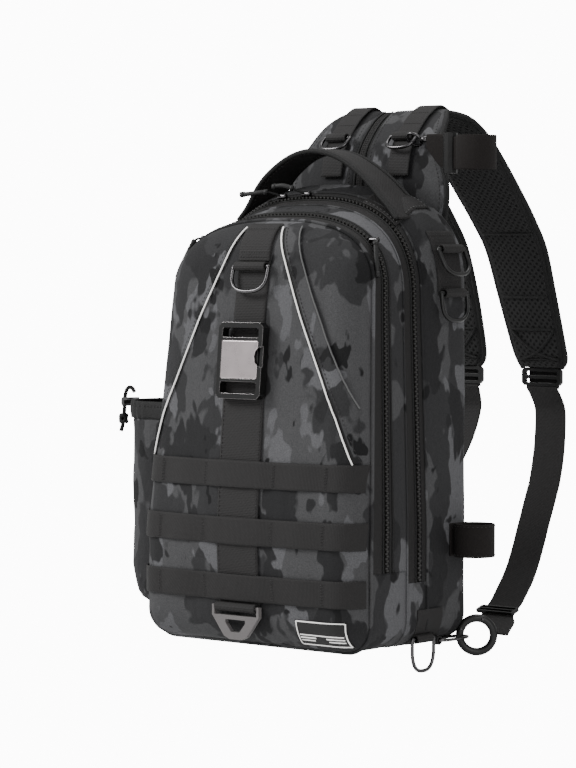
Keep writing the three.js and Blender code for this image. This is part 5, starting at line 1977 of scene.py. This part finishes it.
    def lower(self, side: int, name: str) -> None:
        """Builds the ladder lock, the lower webbing down to the corner ring, and its slide.

        Args:
            side: -1 for the left, 1 for the right.
            name: the side's name.
        """
        p = self.palette
        end = STRAP_ROWS[-1]
        low, high = end.right if side > 0 else end.left
        lock = Vector(((low + high) / 2 * self.width, DEPTH / 2 + end.behind, HEIGHT + end.rise - 18.3))
        slide = Vector((side * (WIDTH / 2 - 20), DEPTH / 2 + 69.5, 15.7))
        route = [
            Vector([lock[k] + share[k] * (slide[k] - lock[k]) for k in range(3)]) for share in LOWER_ROWS
        ]
        centre, flat = gate_place(side)
        hold = centre + flat * 21.5
        tail = [slide.lerp(hold, share) for share in (0.35, 0.75, 0.97)]
        widths = [LOWER_WIDTH] * (len(route) + 1) + [26, 20]
        web = Shape.ribbon(f"lower_web_{name}", route + tail, X_AXIS, widths, 1.8, p.webbing)
        Shape.ripple(web, 0.5, 40, side * 5.0)
        behind = [lock + Vector((0, 3.6, z)) for z in (24, 12, 4, -3)]
        pieces = [web, Shape.ribbon(f"lock_web_{name}", behind, X_AXIS, [LOWER_WIDTH - 1], 1.5, p.webbing)]
        for sign in (-1, 1):
            line = smooth_path([q + X_AXIS * (sign * 15.5) for q in route], 5)
            seam = [q + Vector((0, 0.95, 0)) for q in line]
            pieces.append(sewn(f"lower_seam_{name}_{sign}", seam, p.stitch))
        node = f"lower_webbing_{name}"
        settle(Shape.join(f"{node}_cloth", pieces), node)
        fitted(f"ladder_lock_{name}", f"lock_{name}", p.plastic, 0.9)
        fitted(f"strap_slide_{name}", f"slide_{name}", p.plastic, 0.5)

    def back(self) -> None:
        """Builds the padded mesh panel on the wearer's side."""
        half, low, top = WIDTH / 2 - 28, 35.0, HEIGHT - 54
        # Share of the height, and how far the side is drawn in there, in mm
        shape = (
            (0, 6), (0.03, 1.5), (0.08, 0), (0.35, 0), (0.63, 0), (0.8, 9), (0.93, 20), (0.97, 28), (1, 40)
        )
        path = [Vector((0, DEPTH / 2 + 4.6, low + (top - low) * share)) for share, _ in shape]
        widths = [2 * (half - cut) for _, cut in shape]
        pad = Shape.ribbon("lumbar_pad", path, X_AXIS, widths, 7.0, self.palette.mesh, 1.6, (-0.4, 0.4))
        settle(pad, "back_panel")

    def build(self) -> None:
        """Builds both straps, the zip between them and the back panel."""
        for side, name in SIDES:
            self.pad(side, name)
            self.webbing(side, name)
            self.lower(side, name)
        self.zip()
        self.back()


@dataclass
class TopTrim:
    """The carry handle, the zip pulls and the rod strap with its hook."""

    palette: Palette
    drape: Drape
    rod_z: float = HEIGHT + 29
    rod_start: float = 76.5
    handle_span: float = 196.0
    handle_rise: float = 64.0
    handle_width: float = 46.0
    handle_y: float = 42.0

    def handle(self) -> None:
        """Builds the carry handle with its stitched and rolled edges and its sewn feet."""
        p = self.palette
        # Shares of the span, the rise and the width
        shape = (
            (-0.5, -0.02, 1), (-0.445, 0.16, 1), (-0.36, 0.52, 1), (-0.27, 0.76, 0.95), (-0.16, 0.94, 0.9),
            (-0.04, 1, 0.88), (0.09, 0.93, 0.88), (0.2, 0.77, 0.9), (0.3, 0.56, 0.95), (0.38, 0.34, 1),
            (0.445, 0.16, 1.04), (0.5, -0.02, 1.08),
        )
        foot_z = HEIGHT - self.handle_rise / 2
        path = [
            Vector((a * self.handle_span, self.handle_y, foot_z + r * self.handle_rise)) for a, r, _ in shape
        ]
        widths = [w * self.handle_width for _, _, w in shape]
        line, spans = smooth_path(path, 6), spread(widths, (len(path) - 1) * 6 + 1)
        pieces = [Shape.ribbon("handle_band", path, Y_AXIS, widths, 3.6, p.webbing, 0.7, (-0.8, 0.8))]
        near, far, front, back = 60, 95, 20, 66
        sewn_lines = (((near, front), (far, front)), ((near, back), (far, back)), ((far, front), (far, back)))
        for sign in (-1, 1):
            seam = []
            for i, (q, w) in enumerate(zip(line, spans)):
                out = heading(line, i).cross(Y_AXIS)
                seam.append(q + Vector((0, sign * (w / 2 - 4), 0)) - out * 2.3)
            rim = [q + Vector((0, sign * (w / 2 - 1.4), 0)) for q, w in zip(line, spans)]
            foot = run((sign * 58, 43), (sign * 97, 43), 20)
            pieces.append(sewn(f"handle_seam_{sign}", seam, p.stitch))
            pieces.append(Shape.tube(f"handle_rim_{sign}", rim, 2.5, p.binding, sides=10))
            pieces.append(self.drape.band(f"foot_{sign}", Side.TOP, foot, 51, p.webbing, 0.4, 1.4))
            for k, (a, b) in enumerate(sewn_lines):
                edge = run((sign * a[0], a[1]), (sign * b[0], b[1]), 16)
                pieces.append(self.drape.stitching(f"foot_seam_{sign}_{k}", Side.TOP, edge, 2.0, p.edge))
        settle(Shape.join("top_handle", pieces), "carry_handle")

    def pulls(self) -> None:
        """Builds each zip slider with its cord and its moulded pull."""
        p = self.palette
        drops = {
            "front_pull_left": ((-8, -6, -2), (-16, -12, -20), (-22, -16, -38)),
            "front_pull_right": ((7, -7, -2), (12, -12, -18), (15, -14, -34)),
            "main_pull_left": ((-10, -10, 4), (-24, -15, 3), (-38, -17, 2)),
            "main_pull_right": ((-9, -9, 5), (-19, -12, 8), (-30, -14, 7)),
        }
        at_slider, at_grip = (4.6, 3.4, 3.4), 2.8
        for node, drop in drops.items():
            corner = Vector(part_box(node)[1]) * 1000 + Vector((0, CREST_Y, UNDER_CREST_Z))
            offsets = [Vector((0, 0, 0)), *[Vector(o) for o in drop]]
            reach = [max(o[k] for o in offsets) for k in range(3)]
            inside = [at_slider[k] if reach[k] == 0 else at_grip for k in range(3)]
            start = Vector([corner[k] - reach[k] - inside[k] for k in range(3)])
            line = smooth_path([start + o for o in offsets], 8)
            split = len(line) // 3
            bar = [start + Vector((x, 0, 0)) for x in (-4.4, -3.4, 3.4, 4.4)]
            pieces = [Shape.tube(f"{node}_slider", bar, 2.7, p.steel, sides=16)]
            for shift in (-1.0, 1.0):
                cord = [q + Vector((0, shift, 0)) for q in line[: split + 3]]
                pieces.append(Shape.tube(f"{node}_cord_{shift}", cord, 0.9, p.binding, sides=8))
            for key, span, radius in (
                ("grip", line[split:], 2.3),
                ("tip", line[-4:], 2.8),
                ("collar", line[split : split + 3], 2.8),
            ):
                pieces.append(Shape.tube(f"{node}_{key}", span, radius, p.rubber, sides=14))
            settle(Shape.join(f"{node}_form", pieces), node)

    def rod_strap(self) -> None:
        """Builds the upper rod strap, its barrel lock and its hook."""
        p = self.palette
        start, reach = self.rod_start, WIDTH / 2 + 4 - self.rod_start
        # Share of the reach, depth behind the bag, rise in mm, and share of the width
        shape = (
            (0, 2, 12, 0.45), (0.16, -1.5, 8, 0.7), (0.36, -5, 3, 1), (0.6, -9, 0, 1), (0.8, -13, 0, 1),
            (1, -17, 0, 1),
        )
        path = [Vector((start + a * reach, DEPTH / 2 + b, self.rod_z + r)) for a, b, r, _ in shape]
        band = Shape.ribbon("rod_band", path, Z_AXIS, [31 * h for *_, h in shape], 2.4, p.fuzzy)
        centre = Vector((WIDTH / 2 + 18, DEPTH / 2 - 19, self.rod_z))
        ring_band = hoop("rod_ring", centre, Z_AXIS, 32, p.fuzzy, ROD_RADIUS, 2.4, 64)
        settle(Shape.join("rod_strap_cloth", [band, ring_band]), "rod_strap")
        fitted("rod_strap_lock", "barrel_lock", p.plastic, 1.0)

    def hook(self) -> None:
        """Builds the hook that links the rod strap to the right strap ring."""
        p = self.palette
        tilt, eye = math.radians(STRAP_RING.tilt), 7.8
        down = Vector((0, -math.sin(tilt), -math.cos(tilt)))
        out = Vector((0, -math.cos(tilt), math.sin(tilt)))
        beside = Vector((STRAP_RING.width / 2 - STRAP_RING.radius + 3, 0, 0))
        middle = strap_pivot(1) + beside + down * (STRAP_RING.drop * 0.45) + out * 2.4
        round_line = circle(middle, X_AXIS, out, eye, full_turn(48))
        wire = Shape.tube("hook_wire", round_line, 1.5, p.steel, True)
        ends = [middle + Vector((eye, 0, 0)), Vector((self.rod_start - 1.2, middle.y, middle.z))]
        stem = Shape.tube("hook_stem", ends, 3.0, p.steel, sides=16)
        settle(Shape.join("hook_form", [wire, stem]), "rod_hook")

    def build(self) -> None:
        """Builds everything on top."""
        self.handle()
        self.pulls()
        self.rod_strap()
        self.hook()


@dataclass(frozen=True)
class Lamp:
    """One soft square light: its name, place and size in metres, and its power in watts."""

    name: str
    place: tuple
    size: float
    power: float


LAMPS = (
    Lamp("stage_key", (-1.6, -1.7, 1.3), 1.1, 92.0),
    Lamp("stage_fill", (2.0, -1.2, 0.5), 1.6, 24.0),
    Lamp("stage_top", (0.2, 0.3, 1.9), 1.4, 34.0),
)

# The camera's middle of view in mm, its direction from there, its distance in metres and its lens in mm
LOOK_AT = (-10.9, -9.1, 240.0)
LOOK_FROM = (0.6422, -0.7653, 0.0436)
LOOK_DISTANCE = 2.96
LENS = 146.4

# Strength of the white world: as light on the bag, and as the background that the camera sees
WORLD_LIGHT = 0.7
WORLD_SEEN = 12.0


def place_camera(target: Vector) -> None:
    """Places the camera where the photograph was taken from.

    Args:
        target: the point that it looks at, in the row frame.
    """
    back = Vector(LOOK_FROM)
    data = bpy.data.cameras.new("camera")
    data.lens = LENS
    data.sensor_width = 36.0
    data.clip_end = 20.0
    data.dof.use_dof = False
    camera = bpy.data.objects.new("camera", data)
    camera.location = target + back * LOOK_DISTANCE
    camera.rotation_mode = "QUATERNION"
    camera.rotation_quaternion = (-back).to_track_quat("-Z", "Y")
    bpy.context.scene.collection.objects.link(camera)
    bpy.context.scene.camera = camera


def light_world() -> None:
    """Makes the white world, brighter where the camera sees it than where it lights the bag."""
    world = bpy.data.worlds.new("soft_white")
    world.use_nodes = True
    tree = world.node_tree
    background = tree.nodes["Background"]
    background.inputs["Color"].default_value = (1, 1, 1, 1)
    path = tree.nodes.new("ShaderNodeLightPath")
    strength = tree.nodes.new("ShaderNodeMapRange")
    strength.inputs["To Min"].default_value = WORLD_LIGHT
    strength.inputs["To Max"].default_value = WORLD_SEEN
    tree.links.new(path.outputs["Is Camera Ray"], strength.inputs["Value"])
    tree.links.new(strength.outputs["Result"], background.inputs["Strength"])
    bpy.context.scene.world = world


def light_stage(target: Vector) -> None:
    """Places the soft lights and the floor.

    Args:
        target: the point that the lights face, in the row frame.
    """
    for lamp in LAMPS:
        data = bpy.data.lights.new(lamp.name, "AREA")
        data.size = lamp.size
        data.energy = lamp.power
        obj = bpy.data.objects.new(lamp.name, data)
        obj.location = Vector(lamp.place)
        obj.rotation_mode = "QUATERNION"
        obj.rotation_quaternion = (target - obj.location).to_track_quat("-Z", "Y")
        bpy.context.scene.collection.objects.link(obj)
    z = -(UNDER_CREST_Z + 60) / 1000
    plane = bpy.data.meshes.new("stage_floor")
    plane.from_pydata([(-6, -6, z), (6, -6, z), (6, 6, z), (-6, 6, z)], [], [[0, 1, 2, 3]])
    plane.materials.append(Finish("stage_white", "f4f4f4", 0.8).material())
    floor = bpy.data.objects.new("stage_floor", plane)
    floor.visible_camera = False
    bpy.context.scene.collection.objects.link(floor)


def main() -> None:
    """Builds the bag, its camera, light and floor."""
    logging.basicConfig(level=logging.INFO)
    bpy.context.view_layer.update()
    palette = Palette()
    target = row_point(LOOK_AT)
    place_camera(target)
    light_world()
    light_stage(target)
    body = Body(palette)
    drape = Drape(body.form())
    for node, obj in body.build().items():
        settle(obj, node if node in frame["nodes"] else "")
    FrontTrim(palette, drape).build()
    Rings(palette).build()
    Sides(palette, drape).build()
    Straps(palette).build()
    TopTrim(palette, drape).build()
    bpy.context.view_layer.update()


if __name__ == "__main__":
    main()
